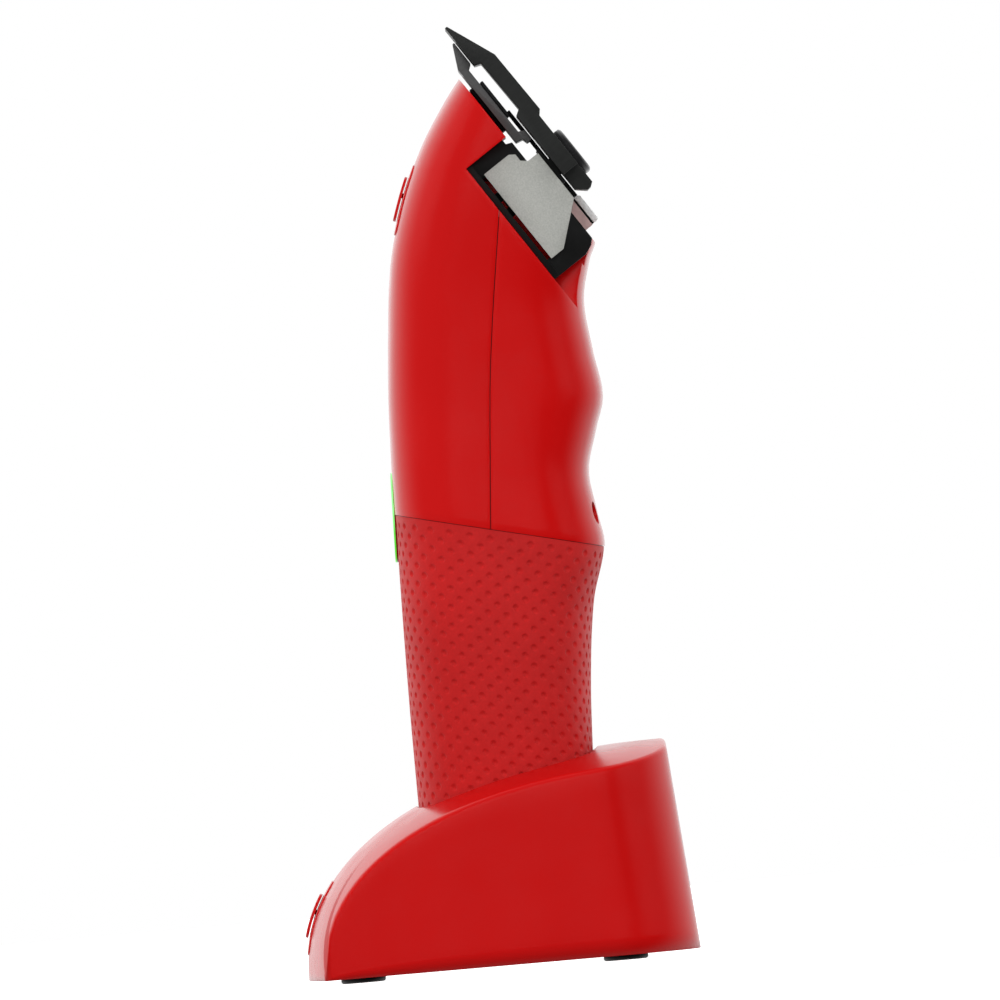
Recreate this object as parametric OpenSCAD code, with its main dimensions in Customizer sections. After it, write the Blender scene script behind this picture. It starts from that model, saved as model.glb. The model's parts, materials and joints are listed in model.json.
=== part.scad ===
// Cordless hair clipper docked in its charging stand.
// Stand frame: X across, -Y is the front with the badges, Z = 0 is the surface under the feet.
// Clipper frame: origin at the middle of its lower end, Z along the clipper, which leans back.
// Blade frame: origin at the tip of the fixed blade, Y back along the blade, Z out of it.

/* [Docking] */
// Angle that the docked clipper leans back
lean = 5; // [3:0.5:7]
// Height of the clipper's lower end above the table
dock_z = 16.7; // [16:0.1:18]
// Distance of the clipper's lower end behind the middle of the stand
dock_y = 0.4; // [0:0.1:1]

/* [Clipper body] */
// Roundness of the body's section, where 2 is an ellipse and more is squarer
body_power = 3.4; // [2.6:0.1:4]
// Wall of the two hard shells
shell_wall = 2; // [1.6:0.1:2.4]
// Wall of the soft grip sleeve
grip_wall = 2.2; // [1.8:0.1:2.6]
// Depth of the sleeve's surface below the shells
grip_step = 0.2; // [0.1:0.05:0.4]
// Height of the seam between shells and sleeve on the clipper's axis
seam_z = 70.9; // [68:0.1:72]
// Drop of the seam towards the back, for each unit of depth
seam_drop = 0.15; // [0.1:0.01:0.2]
// Height of the end cap
cap_h = 6; // [5:0.5:7]
// Distance of each housing screw from the middle
housing_screw_x = 10; // [9:0.5:11]
// Height of the housing screws
housing_screw_z = 74.5; // [74:0.5:76]
// Bore that each housing screw is reached through
access_bore_d = 4.5; // [4.2:0.1:5]

/* [Blades] */
// Angle between the blades and the clipper's axis, seen from the side
blade_tilt = 51.2; // [50:0.1:52]
// Width of the fixed blade
blade_w = 46; // [45:0.5:46.5]
// Number of slots between the teeth of the fixed blade
blade_slots = 25; // [20:1:28]
// Width of the moving cutter
cutter_w = 39; // [37:0.5:40]
// Number of slots between the teeth of the cutter
cutter_slots = 17; // [14:1:20]
// Distance of each blade screw from the middle
blade_screw_x = 12.5; // [12:0.1:13]
// Head of each blade screw
blade_screw_d = 10.3; // [9:0.1:10.4]

/* [Drive] */
// Distance of the drive pin from the motor's axis, which is half of the cutter's stroke
throw = 1.25; // [1:0.05:1.3]
// Diameter of the drive pin
drive_pin_d = 2; // [1.8:0.1:2.2]
// Diameter of the motor
motor_d = 26; // [24:0.5:26]
// Length of the motor's can
motor_len = 36; // [34:0.5:37]
// Diameter of the battery cell
cell_d = 18.2; // [17:0.1:18.4]
// Length of the battery cell
cell_len = 65; // [60:0.5:65]

/* [Taper lever] */
// Turn of the lever between open and closed
lever_turn = 32; // [28:1:34]
// Distance of the crank pin from the lever's axis
crank_r = 4.5; // [4.2:0.1:4.6]

/* [Power button] */
// Length of the lit ring
ring_len = 17.9; // [17:0.1:18.5]
// Width of the lit ring
ring_w = 10.6; // [10:0.1:12]
// Width of the band that lights up
ring_band = 1.3; // [1:0.1:1.6]

/* [Stand] */
// Width of the stand
stand_w = 68; // [66:0.5:70]
// Length of the crown from its front edge to its highest line
crown_len = 75.1; // [74:0.1:76]
// Height of the crown above the lower edge
crown_h = 42.2; // [41:0.1:43]
// Roundness of the crown seen from the side
crown_power = 2.2; // [2:0.05:2.4]
// Wall of the stand
stand_wall = 2.2; // [1.8:0.1:2.4]
// Slope of the back wall
back_draft = 4.8; // [3:0.1:6]
// Radius of the back corners seen from above
corner_r = 16; // [12:0.5:18]
// Thickness of the rubber feet
foot_h = 1; // [0.8:0.1:1.4]
// Diameter of the rubber feet
foot_d = 8.9; // [8:0.1:10]
// Bore of the power inlet
inlet_bore_d = 5.6; // [5.5:0.1:6]

/* [Hidden] */
$fn = 48;

red = [0.72, 0.06, 0.06];
grip_red = [0.7, 0.14, 0.14];
black = [0.09, 0.09, 0.09];
steel = [0.62, 0.63, 0.62];

// Outlines of the clipper seen from the side, and half of its width, each along its axis
front_line = [[0, -15], [17, -16.6], [37, -18.4], [65, -20.5], [93, -22.2], [110, -22.4],
    [125, -21.8], [137, -19.4], [147, -16], [155, -12], [161.2, -8.2], [166, -4.4]];
back_line = [[0, 17.5], [17, 18.9], [41, 18.4], [57, 19], [68, 21], [75, 19.4], [83, 17.8],
    [91, 19.2], [98, 20.6], [107, 18.6], [117, 16.8], [125, 17.9], [129, 19.1], [166, 19.1]];
width_line = [[0, 19.8], [17, 21.3], [45, 21.8], [75, 21.3], [100, 21.1], [118, 21.5],
    [135, 22.5], [150, 22.9], [166, 22.9]];
// Depth of the line where the two housings meet
joint_line = [[70, -1.8], [97, -2], [111, -1.6], [134, -0.2], [166, 1.8]];

// Where the blades sit on the clipper
blade_y = -11;
blade_z = 171.1;

// Heads and decks in the blade frame
deck_n = -4.1;
recess_s = 24.5;
recess_end_s = 52.9;
cut_n = -14.3;
// Tongue of the rear housing, narrower above a ledge, and as high as the back of the frame
tongue_w = 28;
ledge_n = -8;
top_n = -3.3;
seat_n = -1.1;
blade_under_n = 0.2;
blade_screw_s = 34.9;
frame_half_w = 19;
bracket_half_w = 20.4;
bracket_t = 1.2;
cutter_under_n = -3.15;
guide_half_w = 5.5;

// Lever's pivot in the blade frame
pivot_s = 40.5;
pivot_n = -6.7;
lever_x = -23.3;
pivot_d = 4;

// Motor's axis and levels in the clipper frame
motor_y = -2.8;
motor_z = 83;
motor_top = motor_z + motor_len;
cam_z = 130;
pin_z = 136.5;
pin_top = 142;
shaft_d = 2.3;
fork_gap = drive_pin_d / 2 + 2 * throw + 0.2;

// Battery cell's place in the clipper frame
cell_y = 1.5;
cell_z = 6.1;

// Button, badge and their places on the front
button_z = 73.5;
button_tilt = 3.6;
badge_z = 137;
badge_tilt = -15.5;
button_clear = 0.2;

// Stand
half_w = stand_w / 2;
base_z = foot_h;
crown_y = 35.8;
back_y = 39.3;
base_t = 2.4;
screw_x = 29;
screw_ys = [-16, 12];
foot_x = 24;
foot_ys = [-28.3, 24.2];
inlet_z = 8.65;
pin_x = 6;
well_gap = 0.5;
well_wall = 1.6;
well_floor = -1.2;
eps = 0.05;

// Value of an outline at height z, on a smooth curve through its points
function rise(c, i) = let (a = max(i - 1, 0), b = min(i + 1, len(c) - 1))
    (c[b][1] - c[a][1]) / (c[b][0] - c[a][0]);
function stretch(c, z) = max([for (i = [0 : len(c) - 2]) if (i == 0 || z >= c[i][0]) i]);
function at(c, z) = let (i = stretch(c, z), h = c[i + 1][0] - c[i][0], t = (z - c[i][0]) / h)
    c[i][1] * (2 * t^3 - 3 * t^2 + 1) + c[i + 1][1] * (3 * t^2 - 2 * t^3)
    + h * (rise(c, i) * (t^3 - 2 * t^2 + t) + rise(c, i + 1) * (t^3 - t^2));

function rounded(v, power) = sign(v) * pow(abs(v), 2 / power);

// Middle, half depth and one point of the body's section
function mid_y(z) = (at(front_line, z) + at(back_line, z)) / 2;
function half_d(z) = (at(back_line, z) - at(front_line, z)) / 2;
function body_point(z, t, inset) = [
    (at(width_line, z) - inset) * rounded(cos(t), body_power),
    mid_y(z) + (half_d(z) - inset) * rounded(sin(t), body_power),
    z
];
// The same point on a level that drops towards the back
function sloped_point(z, t, inset, drop) =
    body_point(z - drop * body_point(z, t, inset).y, t, inset);
function body_ring(z, inset, drop = 0, count = 28) =
    [for (i = [0 : count - 1]) sloped_point(z, 360 * i / count, inset, drop)];
// Half of a section. Its ends lie on the joint line, passed by over on inner shapes.
function half_ring(z, inset, drop, start, over) = let (
    turns = [for (i = [1 : 13]) start + 180 * i / 13 - 90 / 13],
    edge_z = z - drop * at(joint_line, z),
    edge = [at(width_line, edge_z) - inset, at(joint_line, z), edge_z],
    side = start == 0 ? 1 : -1,
    past = [0, -side * over, 0]
) concat(
    [[side * edge.x, edge.y, edge.z] + past],
    [for (t = turns) sloped_point(z, t, inset, drop)],
    [[-side * edge.x, edge.y, edge.z] + past]
);

// Side faces between rings of points, then flat ends
function skin(count, levels, first = 0) = [
    for (j = [0 : levels - 2], i = [0 : count - 1]) let (
        a = first + j * count + i,
        b = first + j * count + (i + 1) % count
    ) each [[a, a + count, b + count], [a, b + count, b]]
];
module loft(rings) {
    count = len(rings[0]);
    last = (len(rings) - 1) * count;
    low = [for (i = [1 : count - 2]) [0, i, i + 1]];
    high = [for (i = [1 : count - 2]) [last, last + i + 1, last + i]];
    polyhedron([for (r = rings) each r], concat(skin(count, len(rings)), low, high));
}
module tube(outer, inner) {
    count = len(outer[0]);
    levels = len(outer);
    first = levels * count;
    last = (levels - 1) * count;
    inside = [for (f = skin(count, levels, first)) [f[0], f[2], f[1]]];
    low = [for (i = [0 : count - 1]) let (k = (i + 1) % count)
        each [[i, k, first + k], [i, first + k, first + i]]];
    high = [for (i = [0 : count - 1]) let (k = (i + 1) % count)
        each [[last + i, first + last + k, last + k], [last + i, first + last + i, first + last + k]]];
    points = concat([for (r = outer) each r], [for (r = inner) each r]);
    polyhedron(points, concat(skin(count, levels), inside, low, high));
}

module at_clipper() translate([0, dock_y, dock_z]) rotate([-lean, 0, 0]) children();
module at_blade() at_clipper() on_blade() children();
module on_blade() translate([0, blade_y, blade_z]) rotate([-blade_tilt, 0, 0]) children();
// On the front of the clipper, Z pointing out and Y up the surface
module on_front(z, tilt) translate([0, at(front_line, z), z]) rotate([90 + tilt, 0, 0]) children();
// A side outline in Y and Z, from x0 to x1
module side_slab(points, x0, x1) translate([x0, 0, 0]) rotate([90, 0, 90])
    linear_extrude(x1 - x0) polygon(points);
module bar(low, high) translate(low) cube(high - low);
module rod(d, x0, x1) translate([x0, 0, 0]) rotate([0, 90, 0]) cylinder(d = d, h = x1 - x0);
module pair(x) for (side = [-1, 1]) translate([side * x, 0, 0]) children();
module oblong(length, width, low, high) translate([0, 0, low]) linear_extrude(high - low) union() {
    square([width, length - width], center = true);
    for (end = [-1, 1]) translate([0, end * (length - width) / 2]) circle(d = width);
}
module plate(length, width, r, low, high) translate([0, 0, low]) linear_extrude(high - low) union() {
    square([width, length - 2 * r], center = true);
    square([width - 2 * r, length], center = true);
    for (x = [-1, 1], y = [-1, 1])
        translate([x * (width / 2 - r), y * (length / 2 - r)]) circle(r = r);
}

// ---- Stand ----

// The crown gets shorter and lower away from the middle
function crown_a(x) = crown_len - 3.55 * (x / half_w)^2;
function crown_b(x) = crown_h - 4.4 * (x / half_w)^2;
function crown_ring(x, inset, low) = concat(
    [[x, back_y + 8, low], [x, back_y + 8, base_z + crown_b(x) - inset]],
    [for (t = [90 : -5 : 0]) [
        x,
        crown_y - (crown_a(x) - inset) * rounded(cos(t), crown_power),
        base_z + (crown_b(x) - inset) * rounded(sin(t), crown_power)
    ]],
    [[x, crown_y - crown_a(x) + inset, low - 1]]
);
function plan_outline(z, inset) = let (
    w = half_w - inset,
    back = back_y - (z - base_z) * tan(back_draft) - inset,
    r = corner_r - inset
) concat(
    [for (i = [-4 : 4]) [w * i / 4, crown_y - crown_a(w * i / 4) + inset, z]],
    [for (t = [0 : 11.25 : 90]) [w - r + r * cos(t), back - r + r * sin(t), z]],
    [for (t = [90 : 11.25 : 180]) [r - w + r * cos(t), back - r + r * sin(t), z]]
);
module stand_solid(inset, low) intersection() {
    loft([for (x = [-half_w - 3 : 7.4 : half_w + 3.1]) crown_ring(x, inset, low)]);
    loft([plan_outline(low, inset), plan_outline(base_z + 50, inset)]);
}
function well_outline(grow) = let (z = 20) [
    for (i = [0 : 35]) let (t = 10 * i) [
        (21.6 + grow) * rounded(cos(t), body_power),
        1.1 + (17.7 + grow) * rounded(sin(t), body_power)
    ]
];
module well_prism(grow, low, high) translate([0, 0, low]) linear_extrude(high - low)
    polygon(well_outline(grow));
module stand_bosses(d, low, high) for (x = [-screw_x, screw_x], y = screw_ys)
    translate([x, y, low]) cylinder(d = d, h = high - low);

module stand_shell() color(red) difference() {
    union() {
        difference() {
            stand_solid(0, base_z);
            stand_solid(stand_wall, base_z - 1);
        }
        stand_bosses(6.4, base_z + base_t, 15);
    }
    at_clipper() well_prism(well_gap, 5, 60);
    stand_bosses(2.1, 0, 13);
    translate([0, back_y + 1, inlet_z]) rotate([90, 0, 0]) cylinder(d = 7.9, h = 6);
}

module base_outline(inset) polygon([for (p = plan_outline(base_z, stand_wall + inset)) [p.x, p.y]]);
module stand_base() color(black) difference() {
    translate([0, 0, base_z]) linear_extrude(base_t) base_outline(0.2);
    stand_bosses(2.8, 0, 5);
    stand_bosses(5.6, 0, base_z + 1.2);
}

module rubber_feet() color(black) for (x = [-foot_x, foot_x], y = foot_ys)
    translate([x, y, 0]) {
        cylinder(d1 = foot_d - 0.6, d2 = foot_d, h = 0.3);
        translate([0, 0, 0.3]) cylinder(d = foot_d, h = foot_h - 0.3);
    }

module base_screws() color(steel) difference() {
    union() {
        stand_bosses(5.4, base_z + 0.1, base_z + 1.2);
        stand_bosses(2.1, base_z + 1.2, 11.5);
    }
    for (x = [-screw_x, screw_x], y = screw_ys) translate([x, y, base_z])
        for (a = [0, 90]) rotate(a) cube([3, 0.7, 1.4], center = true);
}

module ballast_plate() color(steel) plate_block([40, 15, 7], [0, -23.5, base_z + base_t]);
module plate_block(size, place) translate([place.x, place.y, 0])
    plate(size.y, size.x, 2, place.z, place.z + size.z);

// Cup that holds the lower end of the clipper, its rim following the crown from below
module dock_well() color(black) difference() {
    at_clipper() difference() {
        well_prism(well_gap + well_wall, well_floor - 1.6, 30);
        difference() {
            well_prism(well_gap, well_floor, 31);
            pair(13) bar([-1, -9, well_floor - 1], [1, 10, -0.1]);
        }
        pair(pin_x) translate([0, 0, -9]) cylinder(d = 2.6, h = 12);
    }
    side_slab([[-40, 24.2], [21, 38], [60, 46.8], [60, 80], [-40, 80]], -40, 40);
}

module contact_block() color([0.2, 0.2, 0.22]) at_clipper() difference() {
    bar([-11, -5, -9], [11, 5, well_floor - 1.6]);
    pair(pin_x) translate([0, 0, -10]) {
        cylinder(d = 2.6, h = 12);
        translate([0, 0, 2.4]) cylinder(d = 3.8, h = 3.8);
    }
}

// Two sprung pins, held down by the docked clipper
module charge_pins() color([0.85, 0.65, 0.3]) at_clipper() pair(pin_x) {
    translate([0, 0, -8.4]) cylinder(d = 2, h = 7.85);
    translate([0, 0, -0.55]) cylinder(d1 = 2, d2 = 1.2, h = 0.5);
    translate([0, 0, -5.3]) cylinder(d = 3.2, h = 1);
}

module stand_circuit_board() color([0.1, 0.35, 0.2]) difference() {
    bar([-17, -14, 4.6], [17, 22.5, 6.2]);
    for (x = [-14, 14], y = [-11, 19]) translate([x, y, 4]) cylinder(d = 2.4, h = 3);
}

module power_inlet() color(black) difference() {
    union() {
        bar([-5, 24, inlet_z - 4.6], [5, 36, inlet_z + 4.6]);
        translate([0, 36, inlet_z]) rotate([-90, 0, 0]) cylinder(d = 7.7, h = 2.2);
    }
    translate([0, 39, inlet_z]) rotate([90, 0, 0]) difference() {
        cylinder(d = inlet_bore_d, h = 10);
        translate([0, 0, 1.6]) cylinder(d = 1.9, h = 9);
    }
}

// Badges follow the crown's front, a little proud of it
module crown_badge(grow, length, width) difference() {
    intersection() {
        stand_solid(-grow, base_z);
        translate([0, -37.3, 13.9]) rotate([67.7, 0, 0]) plate(length, width, 2.5, -6, 6);
    }
    stand_solid(0, base_z - 1);
}
module stand_badge() color(red) crown_badge(0.4, 15.6, 17);
module stand_badge_inlay() color(steel) difference() {
    crown_badge(1.05, 9.2, 11);
    stand_solid(-0.4, base_z - 1);
}

// ---- Clipper body ----

module half_solid(inset, start, over) {
    steps = [0, 4, 9, 14, 19, 24, 29, 35, 41, 47, 53, 59, 65, 71, 77, 83, 88, 92.6];
    loft([for (k = steps) half_ring(
        seam_z + k - (over > 0 && k == 0 ? 1 : 0), inset, seam_drop * max(0, 1 - k / 30), start, over
    )]);
}
// Space around the drive fork, from the motor up to the blades
module fork_slot() bar([-7.5, -7.5, 125], [7.5, 1.5, 160]);
module access_bores(d, y0, y1) pair(housing_screw_x) translate([0, y0, housing_screw_z])
    rotate([-90, 0, 0]) cylinder(d = d, h = y1 - y0);
module ring_pocket() on_front(button_z, button_tilt)
    oblong(ring_len + 0.1, ring_w + 0.1, -4, 4);

module front_cover() color(red) at_clipper() difference() {
    union() {
        difference() {
            half_solid(0, 180, 0);
            on_blade() side_slab([[-40, deck_n], [recess_s - eps, deck_n], [recess_s - eps, cut_n],
                [90, cut_n], [90, 60], [-40, 60]], -30, 30);
            intersection() {
                half_solid(shell_wall, 180, 1);
                on_blade() side_slab([[-60, deck_n - 2], [recess_s - 2, deck_n - 2],
                    [recess_s - 2, cut_n + 1.5], [120, cut_n + 1.5], [120, -120], [-60, -120]],
                    -30, 30);
            }
        }
        difference() {
            access_bores(6, -20, 6.8);
            side_slab([[-40, 60], [-16, 60], [-16, seam_z + 16 * seam_drop],
                [-40, seam_z + 40 * seam_drop]], -30, 30);
        }
    }
    access_bores(1.7, -14, 10);
    fork_slot();
    ring_pocket();
    on_front(badge_z, badge_tilt) plate(14.6, 18.1, 3.05, -1, 4);
}

module rear_housing() color(red) at_clipper() difference() {
    union() {
        difference() {
            half_solid(0, 0, 0);
            on_blade() side_slab([[-60, cut_n], [recess_end_s, cut_n], [recess_end_s, -6.2],
                [52.1, -4.3], [51.1, top_n], [80, top_n], [80, 80], [-60, 80]], -30, 30);
            on_blade() pair(tongue_w / 2 + 8) bar([-8, recess_end_s - 1, cut_n], [8, 80, 60]);
            on_blade() pair(tongue_w / 2 + 6.4) bar([-8, recess_end_s - 1, ledge_n], [8, 80, 60]);
            intersection() {
                half_solid(shell_wall, 0, 1);
                on_blade() side_slab([[-60, 60], [recess_end_s - 2, 60],
                    [recess_end_s - 2, cut_n - 1.6], [120, cut_n - 1.6], [120, -120], [-60, -120]],
                    -30, 30);
            }
        }
        access_bores(7, 7, 18);
    }
    access_bores(2.3, 0, 30);
    access_bores(access_bore_d, 9, 30);
}

module housing_screws() color(steel) at_clipper() difference() {
    union() {
        access_bores(4.1, 9.1, 11.4);
        access_bores(1.7, -8, 9.1);
    }
    pair(housing_screw_x) translate([0, 11.4, housing_screw_z])
        for (a = [0, 90]) rotate([0, a, 0]) cube([2.6, 1.6, 0.6], center = true);
}

function sleeve_rings(inset) = [for (i = [0 : 11]) let (k = i / 11)
    body_ring(cap_h + (seam_z - 0.1 - cap_h) * k, inset, seam_drop * k)];
module grip_sleeve() color(grip_red) at_clipper() difference() {
    tube(sleeve_rings(grip_step), sleeve_rings(grip_step + grip_wall));
    ring_pocket();
}

module bottom_cap() color(black) at_clipper() difference() {
    loft([body_ring(0, 2.8), body_ring(0.6, 1.3), body_ring(1.8, 0.6), body_ring(cap_h - eps, 0.3)]);
    pair(pin_x) translate([0, 0, -1]) cylinder(d = 5, h = 1.8);
    translate([0, 1.4, 4]) plate(24, 32, 3, 0, 5);
}

module contact_plates() color([0.85, 0.65, 0.3]) at_clipper() pair(pin_x) cylinder(d = 5, h = 0.8);

module clipper_badge() color(red) at_clipper() on_front(badge_z, badge_tilt) difference() {
    plate(14.5, 18, 3, -1, 0.3);
    plate(9.2, 11, 2, 0, 4);
}
module clipper_badge_inlay() color(steel) at_clipper() on_front(badge_z, badge_tilt)
    plate(9.2, 11, 2, 0, 1.1);

module light_ring() color([0.3, 1, 0.35]) at_clipper() on_front(button_z, button_tilt) difference() {
    oblong(ring_len, ring_w, -2.4, 0.4);
    oblong(ring_len - 2 * ring_band, ring_w - 2 * ring_band, -3, 4);
}
module power_button() color([0.45, 0.02, 0.03]) at_clipper() on_front(button_z, button_tilt) {
    inner = 2 * (ring_band + button_clear);
    oblong(ring_len - inner, ring_w - inner, -2, 0.25);
    translate([0, 0, -3]) cylinder(d = 3, h = 2);
}

module power_switch() color(black) at_clipper() {
    bar([-3, -16.4, button_z - 3], [3, -13.2, button_z + 3]);
    translate([0, -16.4, button_z]) rotate([90, 0, 0]) cylinder(d = 3, h = 0.9);
}
module control_board() color([0.1, 0.35, 0.2]) at_clipper() difference() {
    union() {
        bar([-12, -13.2, 24], [12, -11.6, 69]);
        bar([-6, -13.2, 69], [6, -11.6, 79]);
    }
    for (x = [-9.5, 9.5], z = [27, 66]) translate([x, -14, z]) rotate([-90, 0, 0])
        cylinder(d = 2.2, h = 4);
}

module battery_cell() color([0.15, 0.3, 0.55]) at_clipper() translate([0, cell_y, cell_z]) {
    cylinder(d = cell_d, h = cell_len - 1);
    cylinder(d = 8, h = cell_len);
}
module battery_holder() color(black) at_clipper() difference() {
    union() {
        translate([0, cell_y, cell_z + 3]) cylinder(d = cell_d + 3, h = cell_len - 6);
        for (z = [12, 38, 62]) bar([-13, -11.4, z], [13, cell_y, z + 3]);
    }
    translate([0, cell_y, cell_z]) cylinder(d = cell_d + 0.2, h = cell_len);
    bar([-5, -8, cell_z], [5, cell_y, cell_z + cell_len]);
    bar([-6, 0, cell_z], [6, 14, cell_z + cell_len]);
}

// ---- Motor ----

module on_motor(z) at_clipper() translate([0, motor_y, z]) children();
module ring_of(d, bore, h) difference() {
    cylinder(d = d, h = h);
    translate([0, 0, -1]) cylinder(d = bore, h = h + 2);
}
module motor_can() color(steel) on_motor(motor_z) difference() {
    union() {
        cylinder(d = motor_d, h = motor_len);
        translate([0, 0, motor_len]) cylinder(d = 10, h = 2.4);
    }
    translate([0, 0, -1]) cylinder(d = motor_d - 2.4, h = motor_len - 0.5);
    translate([0, 0, motor_len - 2]) cylinder(d = 7, h = 6);
    for (x = [-8, 8]) translate([x, 0, motor_len - 2]) cylinder(d = 2.4, h = 4);
}
module motor_magnets() color([0.2, 0.2, 0.2]) on_motor(motor_z + 4) difference() {
    ring_of(motor_d - 2.5, motor_d - 5.2, 26);
    for (y = [-12, 12]) translate([0, y, 13]) cube([5, 10, 40], center = true);
}
module motor_end_cap() color(black) on_motor(motor_z - 3) difference() {
    union() {
        cylinder(d = motor_d, h = 3);
        translate([0, 0, 3]) cylinder(d = motor_d - 2.6, h = 1.8);
    }
    translate([0, 0, -1]) cylinder(d = 7, h = 8);
}
module motor_bearings() color([0.75, 0.6, 0.35]) {
    on_motor(motor_top) ring_of(7, shaft_d, 2.4);
    on_motor(motor_z - 3) ring_of(7, shaft_d, 4);
}
module motor_mount() color(black) at_clipper() difference() {
    translate([0, 0, motor_top]) linear_extrude(2.4) intersection() {
        polygon([for (p = body_ring(motor_top + 3, shell_wall + 0.5)) [p.x, p.y]]);
        translate([-30, -30]) square([60, 38]);
    }
    translate([0, motor_y, motor_top - 1]) cylinder(d = 10.2, h = 5);
    for (x = [-8, 8]) translate([x, motor_y, motor_top - 1]) cylinder(d = 2.4, h = 5);
}
module motor_screws() color(steel) at_clipper() for (x = [-8, 8])
    translate([x, motor_y, motor_top - 1.2]) {
        cylinder(d = 2.2, h = 3.6);
        translate([0, 0, 3.6]) cylinder(d = 4.2, h = 1.4);
    }
module armature() color([0.6, 0.35, 0.2]) on_motor(motor_z + 5) {
    ring_of(motor_d - 6.2, shaft_d - 0.1, 24);
    translate([0, 0, 24]) ring_of(6, shaft_d - 0.1, 3);
}
module motor_shaft() color(steel) on_motor(motor_z - 5) cylinder(d = shaft_d - 0.1, h = pin_z - motor_z);
module eccentric_cam() color([0.8, 0.8, 0.75]) on_motor(cam_z) difference() {
    union() {
        cylinder(d = 8, h = pin_z - cam_z);
        translate([-throw, 0, 0]) cylinder(d = 10, h = 3);
        translate([throw, 0, 0]) cylinder(d = drive_pin_d, h = pin_top - cam_z);
    }
    translate([0, 0, -1]) cylinder(d = shaft_d - 0.1, h = 3);
}

// ---- Blade set ----

module blade_screw_rods(d, low, high) pair(blade_screw_x) translate([0, blade_screw_s, low])
    cylinder(d = d, h = high - low);

module head_frame() color(black) at_clipper() difference() {
    on_blade() difference() {
        union() {
            difference() {
                side_slab([[recess_s, cut_n + eps], [recess_s, -5], [25.6, -5], [26.1, -3.8],
                    [43.5, -3.8], [44, top_n], [50.95, top_n], [51.95, -4.3], [52.7, -6.3],
                    [52.7, cut_n + eps]],
                    -frame_half_w, frame_half_w);
                bar([-16.5, 27.3, -20], [16.5, 50.2, 0]);
            }
            difference() {
                translate([0, 0, cut_n + eps]) linear_extrude(1.25) polygon([
                    [-21.2, 24.6], [21.2, 24.6], [20.9, 44], [19.6, 52.6], [-19.6, 52.6], [-20.9, 44]
                ]);
                bar([-16.5, 27.3, -20], [16.5, 50.2, 0]);
            }
            bar([-16.6, 43.6, -4.8], [16.6, 50.3, top_n]);
            pair(13.2) bar([-3.5, 32.5, cut_n + eps], [3.5, 37.3, seat_n - bracket_t - eps]);
            blade_screw_rods(6.4, cut_n + eps, seat_n - bracket_t - eps);
        }
        side_slab([[28.2, -13], [48.7, -13], [48.7, -9.8], [28.2, -9.8]], -30, -14);
        side_slab([[28.2, -13], [48.7, -13], [48.7, -9.8], [28.2, -9.8]], 14, 30);
        translate([0, pivot_s, pivot_n]) rod(pivot_d + 0.4, -30, 0);
        blade_screw_rods(3.4, -20, 0);
    }
    fork_slot();
}

module blade_bracket() color(steel) at_blade() difference() {
    union() {
        for (x = [-bracket_half_w, bracket_half_w - bracket_t]) side_slab([
            [31, seat_n], [42.5, seat_n], [49.1, -9.1], [49.1, -12.2], [27.6, -12.2],
            [27.6, -5.9], [28.4, -4.8], [30, -4.8], [31, -3.6]
        ], x, x + bracket_t);
        bar([-bracket_half_w, 31, seat_n - bracket_t], [bracket_half_w, 42.4, seat_n]);
    }
    bar([-9, 34.5, -3], [9, 45, 0]);
    blade_screw_rods(3.8, -4, 0);
    translate([0, pivot_s, pivot_n]) rod(pivot_d + 0.4, -30, 0);
}

module seat_pads() color(black) at_blade() difference() {
    pair(14.1) {
        bar([-5.7, 30.4, seat_n], [5.7, 38.9, -0.5]);
        bar([-5.7, 33.2, -0.6], [5.7, 37, blade_under_n]);
    }
    blade_screw_rods(3.8, -4, 2);
}

// Comb of teeth seen along the blade's thickness, with a slot between each two teeth
module teeth(width, count, tip, root, slot_w) {
    pitch = (width - 3) / count;
    for (i = [0 : count - 1]) translate([(i - (count - 1) / 2) * pitch, 0])
        polygon([
            [-slot_w * 0.75, tip - 1], [slot_w * 0.75, tip - 1], [slot_w / 2, tip + 1.6],
            [slot_w * 0.36, root], [-slot_w * 0.36, root], [-slot_w / 2, tip + 1.6]
        ]);
}

module fixed_blade() color([0.2, 0.2, 0.21]) at_blade() difference() {
    intersection() {
        side_slab([[0, 0], [9.4, 0], [9.9, 1.3], [21.7, 1.5], [22.5, blade_under_n],
            [41.2, blade_under_n], [42.9, 2.1], [42.8, 3], [42.2, 3.8], [25.4, 3.8], [24.4, 4.7],
            [10.3, 4.5], [0, 0.5]], -blade_w / 2, blade_w / 2);
        translate([0, 0, -1]) linear_extrude(8) difference() {
            polygon([[-22, 0], [22, 0], [23, 3.5], [23, 37.6], [18, 37.6], [18, 42.9],
                [-18, 42.9], [-18, 37.6], [-23, 37.6], [-23, 3.5]]);
            teeth(blade_w, blade_slots, 0, 8.6, 0.8);
        }
    }
    blade_screw_rods(4.2, -2, 6);
}

module blade_screws() color([0.15, 0.15, 0.15]) at_blade() difference() {
    union() {
        blade_screw_rods(blade_screw_d, 3.82, 5);
        pair(blade_screw_x) translate([0, blade_screw_s, 5])
            cylinder(d1 = blade_screw_d, d2 = blade_screw_d - 1, h = 0.35);
        blade_screw_rods(3.3, -12.5, 3.82);
    }
    pair(blade_screw_x) translate([0, blade_screw_s, 5.35])
        for (a = [0, 90]) rotate(a) cube([5.2, 1.1, 2.2], center = true);
}

// T-shaped guide that the cutter runs along, drawn forward by the lever's crank
module cutter_guide() color(black) at_blade() {
    bar([-17.5, 12.8, -1.4], [17.5, 21.6, -0.7]);
    bar([-guide_half_w, 20.6, -0.9], [guide_half_w, 42.4, -0.1]);
    difference() {
        bar([-5.2, 38.5, -4.6], [-2.2, 42.4, -0.8]);
        bar([-7, 39.15, -6], [0, 41.85, -1]);
    }
}

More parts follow.
